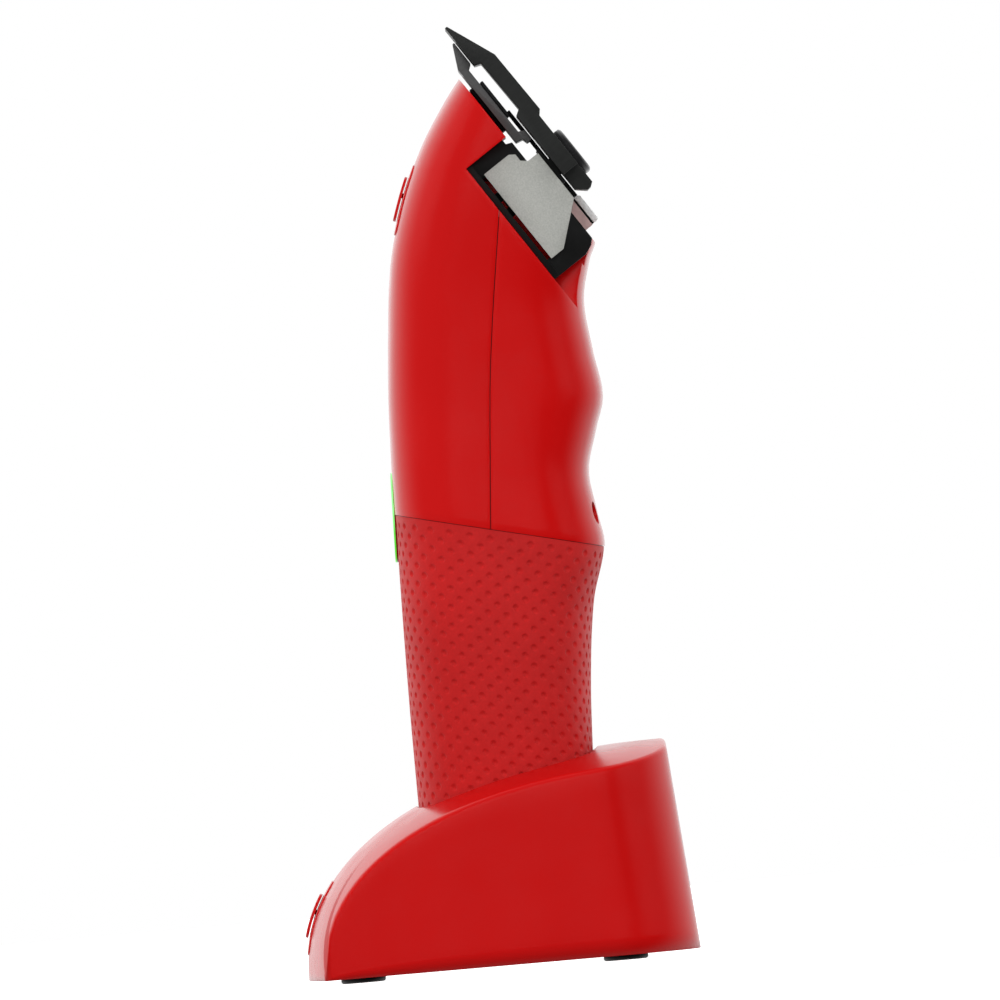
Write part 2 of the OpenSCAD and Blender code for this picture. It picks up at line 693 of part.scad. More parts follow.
module cutter_blade() color([0.42, 0.42, 0.43]) at_blade() difference() {
    intersection() {
        side_slab([[3.4, -0.8], [8.1, cutter_under_n], [26.6, cutter_under_n], [26.9, -1.7],
            [28, -1.4], [28, -0.35], [25.7, -0.35], [25.2, -1.5], [9.4, -1.5], [8.6, -0.4],
            [3.4, -0.4]], -cutter_w / 2, cutter_w / 2);
        translate([0, 0, -5]) linear_extrude(8) difference() {
            translate([-cutter_w / 2, 3.4]) square([cutter_w, 30]);
            teeth(cutter_w, cutter_slots, 3.4, 9, 1.1);
        }
    }
    bar([-guide_half_w - 2.1, 24.8, -1.3], [guide_half_w + 2.1, 29, 0]);
}

// Yoke under the cutter, with two tines that straddle the drive pin
module drive_fork() color(black) at_clipper() {
    on_blade() bar([-13, 12.6, -3.9], [13, 23.3, cutter_under_n]);
    difference() {
        bar([-4.6, -5.2, 144], [4.6, -0.5, 157]);
        on_blade() side_slab([[-20, cutter_under_n - 0.2], [60, cutter_under_n - 0.2], [60, 30],
            [-20, 30]], -10, 10);
    }
    bar([-fork_gap - 1.9, -5.2, 143.6], [fork_gap + 1.9, -0.5, 146]);
    pair(fork_gap + 0.95) bar([-0.95, -5.2, 137.6], [0.95, -0.5, 144]);
}

// ---- Taper lever ----

module on_pivot() at_blade() translate([0, pivot_s, pivot_n]) children();
module lever_shaft() color(steel) on_pivot() {
    rod(pivot_d, lever_x + 0.5, -7.5);
    side_slab([[-2, 0], [2, 0], [1.5, crank_r], [-1.5, crank_r]], -8, -6.3);
    rod(4.6, -8, -6.3);
    translate([0, 0, crank_r]) {
        rod(3, -8, -6.3);
        rod(2, -6.5, -1.6);
    }
}
module lever_arm() color([0.8, 0.8, 0.78]) on_pivot() difference() {
    union() {
        rod(9, lever_x - 1.3, -20.8);
        side_slab([[-3.6, 2.6], [1.5, 5.45], [8.3, 5.45], [8.3, 3.6], [4.9, 0.4], [3.4, -2.9]],
            lever_x - 1.3, lever_x);
    }
    rod(pivot_d, lever_x + 0.5, 0);
}
module lever_gasket() color(black) on_pivot() bar([lever_x - 3.9, 1.8, 5.45], [lever_x, 8.15, 5.87]);
module lever_pad() color([0.88, 0.88, 0.87]) on_pivot() side_slab(
    [[1.8, 5.87], [8.15, 5.87], [8.15, 6.8], [7.8, 7.15], [2.2, 7.15], [1.8, 6.8]],
    lever_x - 3.9, lever_x);
module lever_screw() color(steel) on_pivot() difference() {
    rod(6, lever_x - 2.4, lever_x - 1.3);
    for (a = [0, 90]) rotate([a, 0, 0]) translate([lever_x - 2.4, 0, 0])
        cube([1, 3.4, 0.8], center = true);
}

stand_shell();
stand_base();
rubber_feet();
base_screws();
ballast_plate();
dock_well();
contact_block();
charge_pins();
stand_circuit_board();
power_inlet();
stand_badge();
stand_badge_inlay();
front_cover();
rear_housing();
grip_sleeve();
bottom_cap();
contact_plates();
housing_screws();
clipper_badge();
clipper_badge_inlay();
light_ring();
power_button();
power_switch();
control_board();
battery_cell();
battery_holder();
motor_can();
motor_magnets();
motor_end_cap();
motor_bearings();
motor_mount();
motor_screws();
armature();
motor_shaft();
eccentric_cam();
head_frame();
blade_bracket();
seat_pads();
fixed_blade();
blade_screws();
cutter_guide();
cutter_blade();
drive_fork();
lever_shaft();
lever_arm();
lever_gasket();
lever_pad();
lever_screw();
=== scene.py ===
# Looks of the hair clipper and its charging stand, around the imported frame.
# Shapes are worked out in millimetres and scaled to metres where meshes are made.
import json
import math

import bmesh
import bpy
import numpy as np
from mathutils import Matrix, Vector


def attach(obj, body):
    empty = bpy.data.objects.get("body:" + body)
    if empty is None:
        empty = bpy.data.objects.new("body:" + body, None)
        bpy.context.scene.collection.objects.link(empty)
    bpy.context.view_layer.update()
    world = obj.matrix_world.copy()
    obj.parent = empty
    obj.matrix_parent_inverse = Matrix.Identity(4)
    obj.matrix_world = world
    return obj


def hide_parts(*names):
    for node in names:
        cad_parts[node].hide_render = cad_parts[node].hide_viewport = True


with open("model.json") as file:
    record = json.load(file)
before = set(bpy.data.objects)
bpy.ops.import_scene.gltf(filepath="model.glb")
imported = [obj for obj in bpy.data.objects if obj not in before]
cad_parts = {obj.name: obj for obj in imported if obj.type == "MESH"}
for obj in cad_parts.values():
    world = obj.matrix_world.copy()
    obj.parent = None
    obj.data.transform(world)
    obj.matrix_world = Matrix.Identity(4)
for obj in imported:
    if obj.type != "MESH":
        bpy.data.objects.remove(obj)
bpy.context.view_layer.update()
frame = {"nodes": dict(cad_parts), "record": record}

NODE_SLOTS = {n["node"]: n["material_slot"] for n in frame["record"]["subparts"]}
MM = 0.001
sin, cos, radians = math.sin, math.cos, math.radians

# ---- Frames and outlines, as the CAD part has them ----

# The clipper leans back in the stand, and its blades are tilted against it from their tip
LEAN, TILT = 5.0, 51.2
TIP_Y, TIP_Z = -11, 171.1
CLIP = Matrix.Translation((0, 0.4, 16.7)) @ Matrix.Rotation(radians(-LEAN), 4, "X")
WORLD = Matrix.Identity(4)

# Points of (height, depth or half width) on the clipper's front, back, side and parting line
FRONT = [(0, -15), (17, -16.6), (37, -18.4), (65, -20.5), (93, -22.2), (110, -22.4), (125, -21.8),
         (137, -19.4), (147, -16), (155, -12), (161.2, -8.2), (166, -4.4)]
BACK = [(0, 17.5), (17, 18.9), (41, 18.4), (57, 19), (68, 21), (75, 19.4), (83, 17.8), (91, 19.2),
        (98, 20.6), (107, 18.6), (117, 16.8), (125, 17.9), (129, 19.1), (166, 19.1)]
WIDTH = [(0, 19.8), (17, 21.3), (45, 21.8), (75, 21.3), (100, 21.1), (118, 21.5), (135, 22.5),
         (150, 22.9), (166, 22.9)]
JOINT = [(70, -1.8), (97, -2), (111, -1.6), (134, -0.2), (166, 1.8)]
# Its section is a rounded square of this power
POWER = 3.4
SEAM_Z, SEAM_DROP = 70.9, 0.15
# Along the blades s counts from their tip, and n stands square on them
DECK_N, CUT_N, RECESS_S = -4.1, -14.3, 24.5
BUTTON_Z, BUTTON_TILT = 73.5, 3.6
BADGE_Z, BADGE_TILT = 137, -15.5
BADGE_LEN, BADGE_W, BADGE_R = 14.5, 18, 3
RING_LEN, RING_W, RING_BAND = 17.9, 10.6, 1.3
# Play round a piece let into a shell
POCKET_PLAY = 0.1
EDGE_ROUND = 0.1


def smooth_line(points):
    """Smooth curve through the points, as a function of height."""
    z = np.array([p[0] for p in points], float)
    v = np.array([p[1] for p in points], float)
    lo = np.maximum(np.arange(len(z)) - 1, 0)
    hi = np.minimum(np.arange(len(z)) + 1, len(z) - 1)
    slope = (v[hi] - v[lo]) / (z[hi] - z[lo])

    def value(at):
        i = np.clip(np.searchsorted(z, at, side="right") - 1, 0, len(z) - 2)
        h = z[i + 1] - z[i]
        t = (at - z[i]) / h
        return (v[i] * (2 * t**3 - 3 * t**2 + 1) + v[i + 1] * (3 * t**2 - 2 * t**3)
                + h * (slope[i] * (t**3 - 2 * t**2 + t) + slope[i + 1] * (t**3 - t**2)))
    return value


front_y, back_y, half_width = smooth_line(FRONT), smooth_line(BACK), smooth_line(WIDTH)
joint_y = smooth_line(JOINT)


def on_front(z, tilt):
    return CLIP @ Matrix.Translation((0, front_y(z), z)) @ Matrix.Rotation(radians(90 + tilt), 4, "X")


def mid_y(z):
    return (front_y(z) + back_y(z)) / 2


def lame(a):
    """Point of the unit rounded square in direction a."""
    c, s = cos(a), sin(a)
    r = (abs(c) ** POWER + abs(s) ** POWER) ** (-1 / POWER)
    return r * c, r * s


def body(z, a, inset=0.0):
    """Point of the clipper's surface at height z in direction a, where -90 degrees is the front."""
    cx, cy = lame(a)
    depth = (back_y(z) - front_y(z)) / 2
    return Vector(((half_width(z) - inset) * cx, mid_y(z) + (depth - inset) * cy, z))


def side_angle(z, y):
    """Direction in which the surface at height z has that depth, on the +X side."""
    v = max(-1.0, min(1.0, (y - mid_y(z)) / ((back_y(z) - front_y(z)) / 2)))
    return math.atan2(v, (1 - abs(v) ** POWER) ** (1 / POWER))


def sheared(z, a, drop, inset=0.0):
    """The same, on a level that drops towards the back."""
    return body(z - drop * body(z, a, inset).y, a, inset)


def blade_point(x, s, n):
    return Vector((x, TIP_Y + s * cos(radians(TILT)) + n * sin(radians(TILT)),
                   TIP_Z - s * sin(radians(TILT)) + n * cos(radians(TILT))))


def blade_n(p):
    return sin(radians(TILT)) * (p.y - TIP_Y) + cos(radians(TILT)) * (p.z - TIP_Z)


def y_on_n(z, n):
    return TIP_Y + (n - cos(radians(TILT)) * (z - TIP_Z)) / sin(radians(TILT))


def y_on_s(z, s):
    return TIP_Y + (s + sin(radians(TILT)) * (z - TIP_Z)) / cos(radians(TILT))


def spread(lo, hi, n):
    """Evenly spaced values from lo to hi, over n steps."""
    return [lo + (hi - lo) * i / n for i in range(n + 1)]


def solve(f, lo, hi):
    """Where f passes zero between lo and hi."""
    up = f(hi) > 0
    for _ in range(40):
        m = (lo + hi) / 2
        if (f(m) > 0) == up:
            hi = m
        else:
            lo = m
    return (lo + hi) / 2


# ---- Meshes ----

class Shape:
    """Vertices and faces of one piece, in millimetres."""

    def __init__(self):
        self.points, self.faces = [], []

    def row(self, points):
        first = len(self.points)
        self.points += [Vector(p) for p in points]
        return list(range(first, first + len(points)))

    def strip(self, a, b, closed=False):
        n = len(a)
        for i in range(n if closed else n - 1):
            j = (i + 1) % n
            self.faces.append((a[i], a[j], b[j], b[i]))

    def grid(self, rows, closed=False):
        for a, b in zip(rows, rows[1:]):
            self.strip(a, b, closed)

    def flat(self, points):
        self.faces.append(tuple(self.row(points)))

    def fan(self, ring, centre):
        c = self.row([centre])[0]
        for i in range(len(ring)):
            self.faces.append((ring[i], ring[(i + 1) % len(ring)], c))

    def build(self, name, place=WORLD, merge=0.002, outward=None):
        """Object of the piece; outward is a point and the way that the face nearest to it looks."""
        bm = bmesh.new()
        verts = [bm.verts.new((place @ p) * MM) for p in self.points]
        for f in self.faces:
            bm.faces.new([verts[i] for i in f])
        bmesh.ops.remove_doubles(bm, verts=bm.verts, dist=merge * MM)
        bmesh.ops.dissolve_degenerate(bm, edges=bm.edges, dist=merge * MM / 4)
        bmesh.ops.recalc_face_normals(bm, faces=bm.faces)
        if outward is not None:
            at, way = Vector(outward[0]) * MM, Vector(outward[1])
            near = min(bm.faces, key=lambda f: (f.calc_center_median() - at).length)
            if near.normal.dot(way) < 0:
                bmesh.ops.reverse_faces(bm, faces=bm.faces)
        mesh = bpy.data.meshes.new(name)
        bm.to_mesh(mesh)
        bm.free()
        obj = bpy.data.objects.new(name, mesh)
        bpy.context.scene.collection.objects.link(obj)
        return obj


def apply(obj):
    """Turn the modifiers into mesh."""
    dg = bpy.context.evaluated_depsgraph_get()
    mesh = bpy.data.meshes.new_from_object(obj.evaluated_get(dg))
    obj.modifiers.clear()
    obj.data = mesh


def shade(obj, angle=32):
    obj.data.polygons.foreach_set("use_smooth", [True] * len(obj.data.polygons))
    obj.data.set_sharp_from_angle(angle=radians(angle))


def bevel(obj, width, angle=35):
    m = obj.modifiers.new("edges", "BEVEL")
    m.width, m.segments, m.limit_method = width * MM, 2, "ANGLE"
    m.angle_limit, m.use_clamp_overlap = radians(angle), True
    m.miter_outer = "MITER_ARC"
    apply(obj)


def solidify(obj, thickness, thin=None):
    """Give the surface a wall, a tenth as thick where thin says so."""
    m = obj.modifiers.new("wall", "SOLIDIFY")
    m.thickness, m.offset, m.use_even_offset, m.use_rim = thickness * MM, -1, True, True
    if thin:
        group = obj.vertex_groups.new(name="wall")
        for v in obj.data.vertices:
            group.add([v.index], 0.1 if thin(v.co / MM) else 1.0, "REPLACE")
        m.vertex_group = group.name
    apply(obj)


def cut(obj, tool):
    m = obj.modifiers.new("hole", "BOOLEAN")
    m.operation, m.solver, m.object = "DIFFERENCE", "MANIFOLD", tool
    apply(obj)
    bpy.data.objects.remove(tool)


def circle(d, n):
    return [(d / 2 * cos(2 * math.pi * i / n), d / 2 * sin(2 * math.pi * i / n)) for i in range(n)]


def oblong(length, width):
    """Outline with round ends, long in Y."""
    n, r, h = 40, width / 2, (length - width) / 2
    top = [(r * cos(math.pi * i / n), h + r * sin(math.pi * i / n)) for i in range(n + 1)]
    return top + [(-x, -y) for x, y in top]


def plate(length, width, r, n=8):
    """Outline with round corners of n steps each."""
    out = []
    for k, (sx, sy) in enumerate(((1, 1), (-1, 1), (-1, -1), (1, -1))):
        for i in range(n + 1):
            a = math.pi / 2 * (k + i / n)
            out.append((sx * (width / 2 - r) + r * cos(a), sy * (length / 2 - r) + r * sin(a)))
    return out


def prism(outline, low, high, place):
    """Closed solid on an outline, for cutting holes."""
    s = Shape()
    rows = [s.row([(x, y, z) for x, y in outline]) for z in (low, high)]
    s.grid(rows, closed=True)
    s.faces.append(tuple(reversed(rows[0])))
    s.faces.append(tuple(rows[1]))
    return s.build("tool", place, merge=0.0001)


def refine(node, width, material=None):
    """Copy of a CAD node with its flat faces joined, and its edges rounded as a moulding's are."""
    source = frame["nodes"][node]
    obj = bpy.data.objects.new(node + "_look", source.data.copy())
    bpy.context.scene.collection.objects.link(obj)
    bm = bmesh.new()
    bm.from_mesh(obj.data)
    bmesh.ops.remove_doubles(bm, verts=bm.verts, dist=0.002 * MM)
    bmesh.ops.dissolve_limit(bm, angle_limit=radians(1.0), verts=bm.verts, edges=bm.edges)
    bm.to_mesh(obj.data)
    bm.free()
    bevel(obj, width, 30)
    shade(obj)
    finish_piece(obj, node, material)


def body_of(node):
    return next(b for b, nodes in frame["record"]["behaviour"]["bodies"].items() if node in nodes)


def finish_piece(obj, node, material=None):
    """Ride on the node's body, stand for the node, and take its slot and its material."""
    slot = NODE_SLOTS[node]
    obj.data.materials.clear()
    obj.data.materials.append(MATERIALS[material or slot])
    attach(obj, body_of(node))
    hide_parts(node)


def extra_piece(obj, body_name, slot):
    """Piece that the CAD model doesn't have."""
    obj.data.materials.append(MATERIALS[slot])
    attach(obj, body_name)


def ring_hole():
    """Tool for the hole of the lit ring, which the front cover and the grip sleeve share."""
    return prism(oblong(RING_LEN + POCKET_PLAY, RING_W + POCKET_PLAY), -4, 4,
                 on_front(BUTTON_Z, BUTTON_TILT))


# ---- Materials ----

MATERIALS = {}


class Nodes:
    """A principled material with helpers for its detail, kept under its name."""

    def __init__(self, name, color, roughness, metallic=0.0, coat=0.0, coat_roughness=0.05, ior=1.5):
        self.mat = MATERIALS[name] = bpy.data.materials.new(name)
        self.mat.use_nodes = True
        self.tree = self.mat.node_tree
        self.shader = self.tree.nodes["Principled BSDF"]
        self.color = (*color, 1)
        self.set("Base Color", self.color)
        self.set("Roughness", roughness)
        self.set("Metallic", metallic)
        self.set("IOR", ior)
        self.set("Coat Weight", coat)
        self.set("Coat Roughness", coat_roughness)
        self.roughness = roughness
        self.mat.diffuse_color = self.color
        self.coords = self.node("ShaderNodeTexCoord").outputs["Object"]
        self.height = None

    def node(self, kind, **values):
        n = self.tree.nodes.new(kind)
        for k, v in values.items():
            setattr(n, k, v)
        return n

    def link(self, a, b):
        self.tree.links.new(a, b)

    def set(self, socket, value):
        self.shader.inputs[socket].default_value = value

    def mapped(self, scale, turn=(0, 0, 0)):
        """Coordinates in units of the given size in millimetres, along axes turned by turn."""
        turned = self.node("ShaderNodeMapping")
        turned.inputs["Rotation"].default_value = [radians(a) for a in turn]
        self.link(self.coords, turned.inputs["Vector"])
        scaled = self.node("ShaderNodeMapping")
        scaled.inputs["Scale"].default_value = [1 / (s * MM) for s in scale]
        self.link(turned.outputs["Vector"], scaled.inputs["Vector"])
        return scaled.outputs["Vector"]

    def noise(self, size, detail, stretch=(1, 1, 1), turn=(0, 0, 0)):
        n = self.node("ShaderNodeTexNoise")
        n.inputs["Scale"].default_value = 1.0
        n.inputs["Detail"].default_value = detail
        self.link(self.mapped([size * s for s in stretch], turn), n.inputs["Vector"])
        return n.outputs["Fac"]

    def cells(self, size):
        n = self.node("ShaderNodeTexVoronoi")
        n.inputs["Scale"].default_value = 1.0
        self.link(self.mapped([size] * 3), n.inputs["Vector"])
        return n.outputs["Distance"]

    def between(self, fac, low, high, a, b):
        """fac from low..high taken to a..b."""
        n = self.node("ShaderNodeMapRange")
        for k, v in zip(("From Min", "From Max", "To Min", "To Max"), (low, high, a, b)):
            n.inputs[k].default_value = v
        self.link(fac, n.inputs["Value"])
        return n.outputs["Result"]

    def mix_color(self, blend_type):
        """Mix node between the colour so far, in A, and the shader."""
        n = self.node("ShaderNodeMix", data_type="RGBA", blend_type=blend_type)
        source = self.shader.inputs["Base Color"]
        if source.is_linked:
            self.link(source.links[0].from_socket, n.inputs["A"])
        else:
            n.inputs["A"].default_value = self.color
        self.link(n.outputs["Result"], source)
        return n

    def vary_color(self, fac, low, high, dark, light):
        """Multiply the colour by dark..light as fac goes from low to high."""
        n = self.mix_color("MULTIPLY")
        n.inputs["Factor"].default_value = 1.0
        tone = self.node("ShaderNodeCombineColor")
        v = self.between(fac, low, high, dark, light)
        for c in ("Red", "Green", "Blue"):
            self.link(v, tone.inputs[c])
        self.link(tone.outputs["Color"], n.inputs["B"])

    def blend_color(self, fac, low, high, other):
        """Mix towards another colour as fac goes from low to high."""
        n = self.mix_color("MIX")
        n.inputs["B"].default_value = (*other, 1)
        self.link(self.between(fac, low, high, 0, 1), n.inputs["Factor"])

    def vary_roughness(self, fac, low, high, a, b):
        """Add a..b to the roughness as fac goes from low to high."""
        self.link(self.between(fac, low, high, self.roughness + a, self.roughness + b),
                  self.shader.inputs["Roughness"])

    def bump(self, fac, depth):
        """Relief of the given depth in millimetres."""
        n = self.node("ShaderNodeBump")
        n.inputs["Strength"].default_value = 1.0
        n.inputs["Distance"].default_value = depth * MM
        self.link(fac, n.inputs["Height"])
        if self.height is not None:
            self.link(self.height, n.inputs["Normal"])
        self.height = n.outputs["Normal"]
        self.link(self.height, self.shader.inputs["Normal"])


def gloss_plastic(name, color, roughness, coat=0.0):
    m = Nodes(name, color, roughness, coat=coat, coat_roughness=0.06, ior=1.36)
    m.vary_color(m.noise(38, 2), 0.3, 0.7, 0.965, 1.03)
    m.vary_roughness(m.noise(7, 4), 0.3, 0.7, -0.03, 0.04)
    m.bump(m.noise(2.4, 2), 0.0045)
    m.bump(m.noise(0.22, 2), 0.0006)
    return m


def grained_plastic(name, color, roughness, depth=0.012, size=0.35):
    m = Nodes(name, color, roughness)
    m.vary_color(m.noise(5, 3), 0.3, 0.7, 0.8, 1.25)
    m.vary_roughness(m.noise(1.6, 3), 0.3, 0.7, -0.08, 0.08)
    m.bump(m.cells(size), depth)
    m.bump(m.noise(0.12, 2), depth / 4)


def ground_metal(name, color, roughness, metallic):
    """Metal with fine parallel marks across the blades, from side to side."""
    m = Nodes(name, color, roughness, metallic=metallic)
    lines = m.noise(0.09, 3, stretch=(22, 1, 22), turn=(LEAN + TILT, 0, 0))
    m.vary_color(lines, 0.25, 0.75, 0.82, 1.16)
    m.vary_color(m.noise(9, 3), 0.3, 0.7, 0.93, 1.06)
    m.vary_roughness(lines, 0.25, 0.75, -0.07, 0.09)
    m.bump(lines, 0.002)


def blasted_metal(name, color, roughness, depth=0.006, size=0.16, metallic=1.0):
    """Metal with an even grain."""
    m = Nodes(name, color, roughness, metallic=metallic)
    m.vary_color(m.noise(size * 2, 3), 0.3, 0.7, 0.88, 1.1)
    m.vary_color(m.noise(6, 3), 0.3, 0.7, 0.95, 1.04)
    m.vary_roughness(m.noise(1.2, 3), 0.3, 0.7, -0.05, 0.06)
    m.bump(m.noise(size, 2), depth)


def grip_red():
    m = Nodes("grip_red", (0.5, 0.011, 0.011), 0.55, ior=1.36)
    m.set("Sheen Weight", 0.04)
    m.set("Sheen Roughness", 0.5)
    m.vary_color(m.noise(14, 3), 0.3, 0.7, 0.92, 1.07)
    m.vary_color(m.noise(0.5, 2), 0.3, 0.7, 0.95, 1.05)
    m.vary_roughness(m.noise(3, 3), 0.3, 0.7, -0.05, 0.05)
    m.bump(m.noise(0.28, 3), 0.012)
    m.bump(m.cells(0.4), 0.006)


def screw_black():
    m = Nodes("screw_black", (0.025, 0.025, 0.026), 0.2, metallic=0.3)
    m.vary_color(m.noise(1.4, 3), 0.3, 0.7, 0.8, 1.2)
    m.vary_roughness(m.noise(0.8, 3), 0.3, 0.7, -0.06, 0.1)
    m.bump(m.noise(0.2, 2), 0.0015)


def board_green():
    m = Nodes("board_green", (0.012, 0.12, 0.04), 0.35, coat=0.4, coat_roughness=0.15)
    # Patches of copper under the green, lighter than the rest
    m.blend_color(m.cells(1.7), 0.42, 0.46, (0.02, 0.2, 0.06))
    m.bump(m.noise(0.08, 2, stretch=(1, 1, 6)), 0.004)


def light_green():
    """Glowing ring, brighter at the top, where the lamp sits behind it."""
    m = Nodes("light_green", (0.08, 0.4, 0.06), 0.3)
    m.set("Emission Strength", 1.0)
    lamp = m.node("ShaderNodeMix", data_type="RGBA")
    lamp.inputs["A"].default_value = (0.06, 0.5, 0.01, 1)
    lamp.inputs["B"].default_value = (0.3, 0.9, 0.3, 1)
    axes = m.node("ShaderNodeSeparateXYZ")
    m.link(m.coords, axes.inputs[0])
    m.link(m.between(axes.outputs["Z"], 0.0885, 0.0935, 0, 1), lamp.inputs["Factor"])
    m.link(lamp.outputs["Result"], m.shader.inputs["Emission Color"])
    m.vary_color(m.noise(1.2, 2), 0.3, 0.7, 0.9, 1.08)
    m.bump(m.noise(0.3, 2), 0.002)


def cell_wrap():
    m = gloss_plastic("cell_wrap", (0.012, 0.07, 0.3), 0.3, 0.3)
    m.bump(m.noise(3, 3, stretch=(1, 1, 8)), 0.03)


def copper():
    """Wound copper wire."""
    m = Nodes("copper", (0.42, 0.13, 0.04), 0.32, metallic=0.9, coat=0.5)
    wires = m.noise(0.25, 1, stretch=(14, 14, 1), turn=(LEAN, 0, 0))
    m.vary_color(wires, 0.35, 0.65, 0.6, 1.2)
    m.bump(wires, 0.06)


def lever_polished():
    m = Nodes("lever_polished", (0.66, 0.46, 0.44), 0.16, metallic=0.1)
    m.vary_color(m.noise(2, 3), 0.3, 0.7, 0.85, 1.12)
    m.vary_roughness(m.noise(1, 3), 0.3, 0.7, -0.05, 0.06)
    m.bump(m.noise(0.14, 3, stretch=(1, 1, 10), turn=(LEAN + TILT, 0, 0)), 0.001)


gloss_plastic("stand_red", (0.56, 0.0035, 0.0035), 0.2)
gloss_plastic("body_red", (0.56, 0.0035, 0.0035), 0.17)
gloss_plastic("button_red", (0.2, 0.004, 0.006), 0.25, 0.2)
grained_plastic("black_plastic", (0.006, 0.006, 0.006), 0.42)
grained_plastic("black_rubber", (0.006, 0.006, 0.006), 0.62, 0.02, 0.5)
ground_metal("blade_black", (0.032, 0.033, 0.032), 0.36, 0.4)
ground_metal("cutter_grey", (0.1, 0.1, 0.1), 0.34, 0.2)
blasted_metal("bracket_grey", (0.44, 0.445, 0.415), 0.5, metallic=0.2)
blasted_metal("steel", (0.5, 0.5, 0.49), 0.32, 0.003, 0.3)
blasted_metal("chrome", (0.78, 0.78, 0.78), 0.08, 0.0008, 0.8)
blasted_metal("lever_silver", (0.95, 0.95, 0.94), 0.3, 0.0015, 0.3, metallic=0.0)
blasted_metal("contact_gold", (0.8, 0.5, 0.16), 0.22, 0.001, 0.4)
blasted_metal("bearing_bronze", (0.5, 0.3, 0.12), 0.5, 0.012, 0.12)
for material in (grip_red, screw_black, board_green, light_green, cell_wrap, copper, lever_polished):
    material()


# ---- Clipper shells ----

PART_GAP, SEAM_GAP, SHELL_WALL = 0.08, 0.05, 2.0
# The seam's drop towards the back fades out over this height
DROP_FADE = 30
# Slot for the drive fork, in the front cover's deck
FORK_X, FORK_Y = 7.5, (-7.5, 1.5)


def drop_at(z):
    return SEAM_DROP * max(0.0, 1 - (z - SEAM_Z) / DROP_FADE)


def front_cover():
    s = Shape()
    # Columns, then steps up to the cut, the recess, the deck and the rim, and across the recess
    cols, low_n, cut_n, deck_n, rim_n, wall_n = 64, 36, 8, 7, 8, 12
    z_cut = solve(lambda z: y_on_n(z, CUT_N) - joint_y(z), 140, 128)
    z_in, z_deck = blade_point(0, RECESS_S, CUT_N).z, blade_point(0, RECESS_S, DECK_N).z

    def across(z):
        """Directions of the columns at this height, from one edge round the front to the other."""
        if z <= z_cut:
            y = joint_y(z) - PART_GAP
        elif z <= z_in:
            y = y_on_n(z, CUT_N)
        else:
            y = y_on_s(z, RECESS_S)
        e = side_angle(z, y)
        return [e - (math.pi + 2 * e) * i / cols for i in range(cols + 1)]

    levels = spread(SEAM_Z + SEAM_GAP, z_cut, low_n)
    levels += spread(z_cut, z_in, cut_n)[1:] + spread(z_in, z_deck, deck_n)[1:]
    rows = [s.row([sheared(z, a, drop_at(z)) for a in across(z)]) for z in levels]
    angles = across(z_deck)
    tops = [z_deck if i in (0, cols) else
            solve(lambda z: blade_n(body(z, a)) - DECK_N, z_deck - 0.5, 163)
            for i, a in enumerate(angles)]
    for k in range(1, rim_n + 1):
        rows.append(s.row([body(z_deck + (t - z_deck) * k / rim_n, a) for t, a in zip(tops, angles)]))
    s.grid(rows)
    # Back wall of the recess, from edge to edge
    wall = [[s.points[r[0]].lerp(s.points[r[-1]], i / wall_n) for i in range(wall_n + 1)]
            for r in rows[len(levels) - deck_n - 1:len(levels)]]
    s.grid([s.row(r) for r in wall])
    s.flat([s.points[i] for i in rows[-1]] + wall[-1][-2:0:-1])
    obj = s.build("front_cover_look", CLIP, outward=(CLIP @ Vector((0, -22, 110)), (0, -1, 0)))
    solidify(obj, SHELL_WALL)
    bevel(obj, EDGE_ROUND)
    x, (y0, y1) = FORK_X, FORK_Y
    cut(obj, prism([(-x, y0), (x, y0), (x, y1), (-x, y1)], 125, 168, CLIP))
    cut(obj, ring_hole())
    pocket = plate(BADGE_LEN + POCKET_PLAY, BADGE_W + POCKET_PLAY, BADGE_R + POCKET_PLAY / 2)
    cut(obj, prism(pocket, -1, 4, on_front(BADGE_Z, BADGE_TILT)))
    shade(obj)
    finish_piece(obj, "front_cover")


TONGUE_X, TONGUE_TOP_X, LEDGE_N, TONGUE_TOP_N = 14.0, 12.4, -8.0, -3.3
TONGUE_S = 52.72
# The lip's front leans forward from LIP_N on, by LIP_LEAN over LIP_RISE and then at 45 degrees
LIP_N, LIP_RISE, LIP_LEAN = -6.2, 1.9, 0.75
HOLE_X, HOLE_Z, HOLE_D = 10, 74.5, 4.5


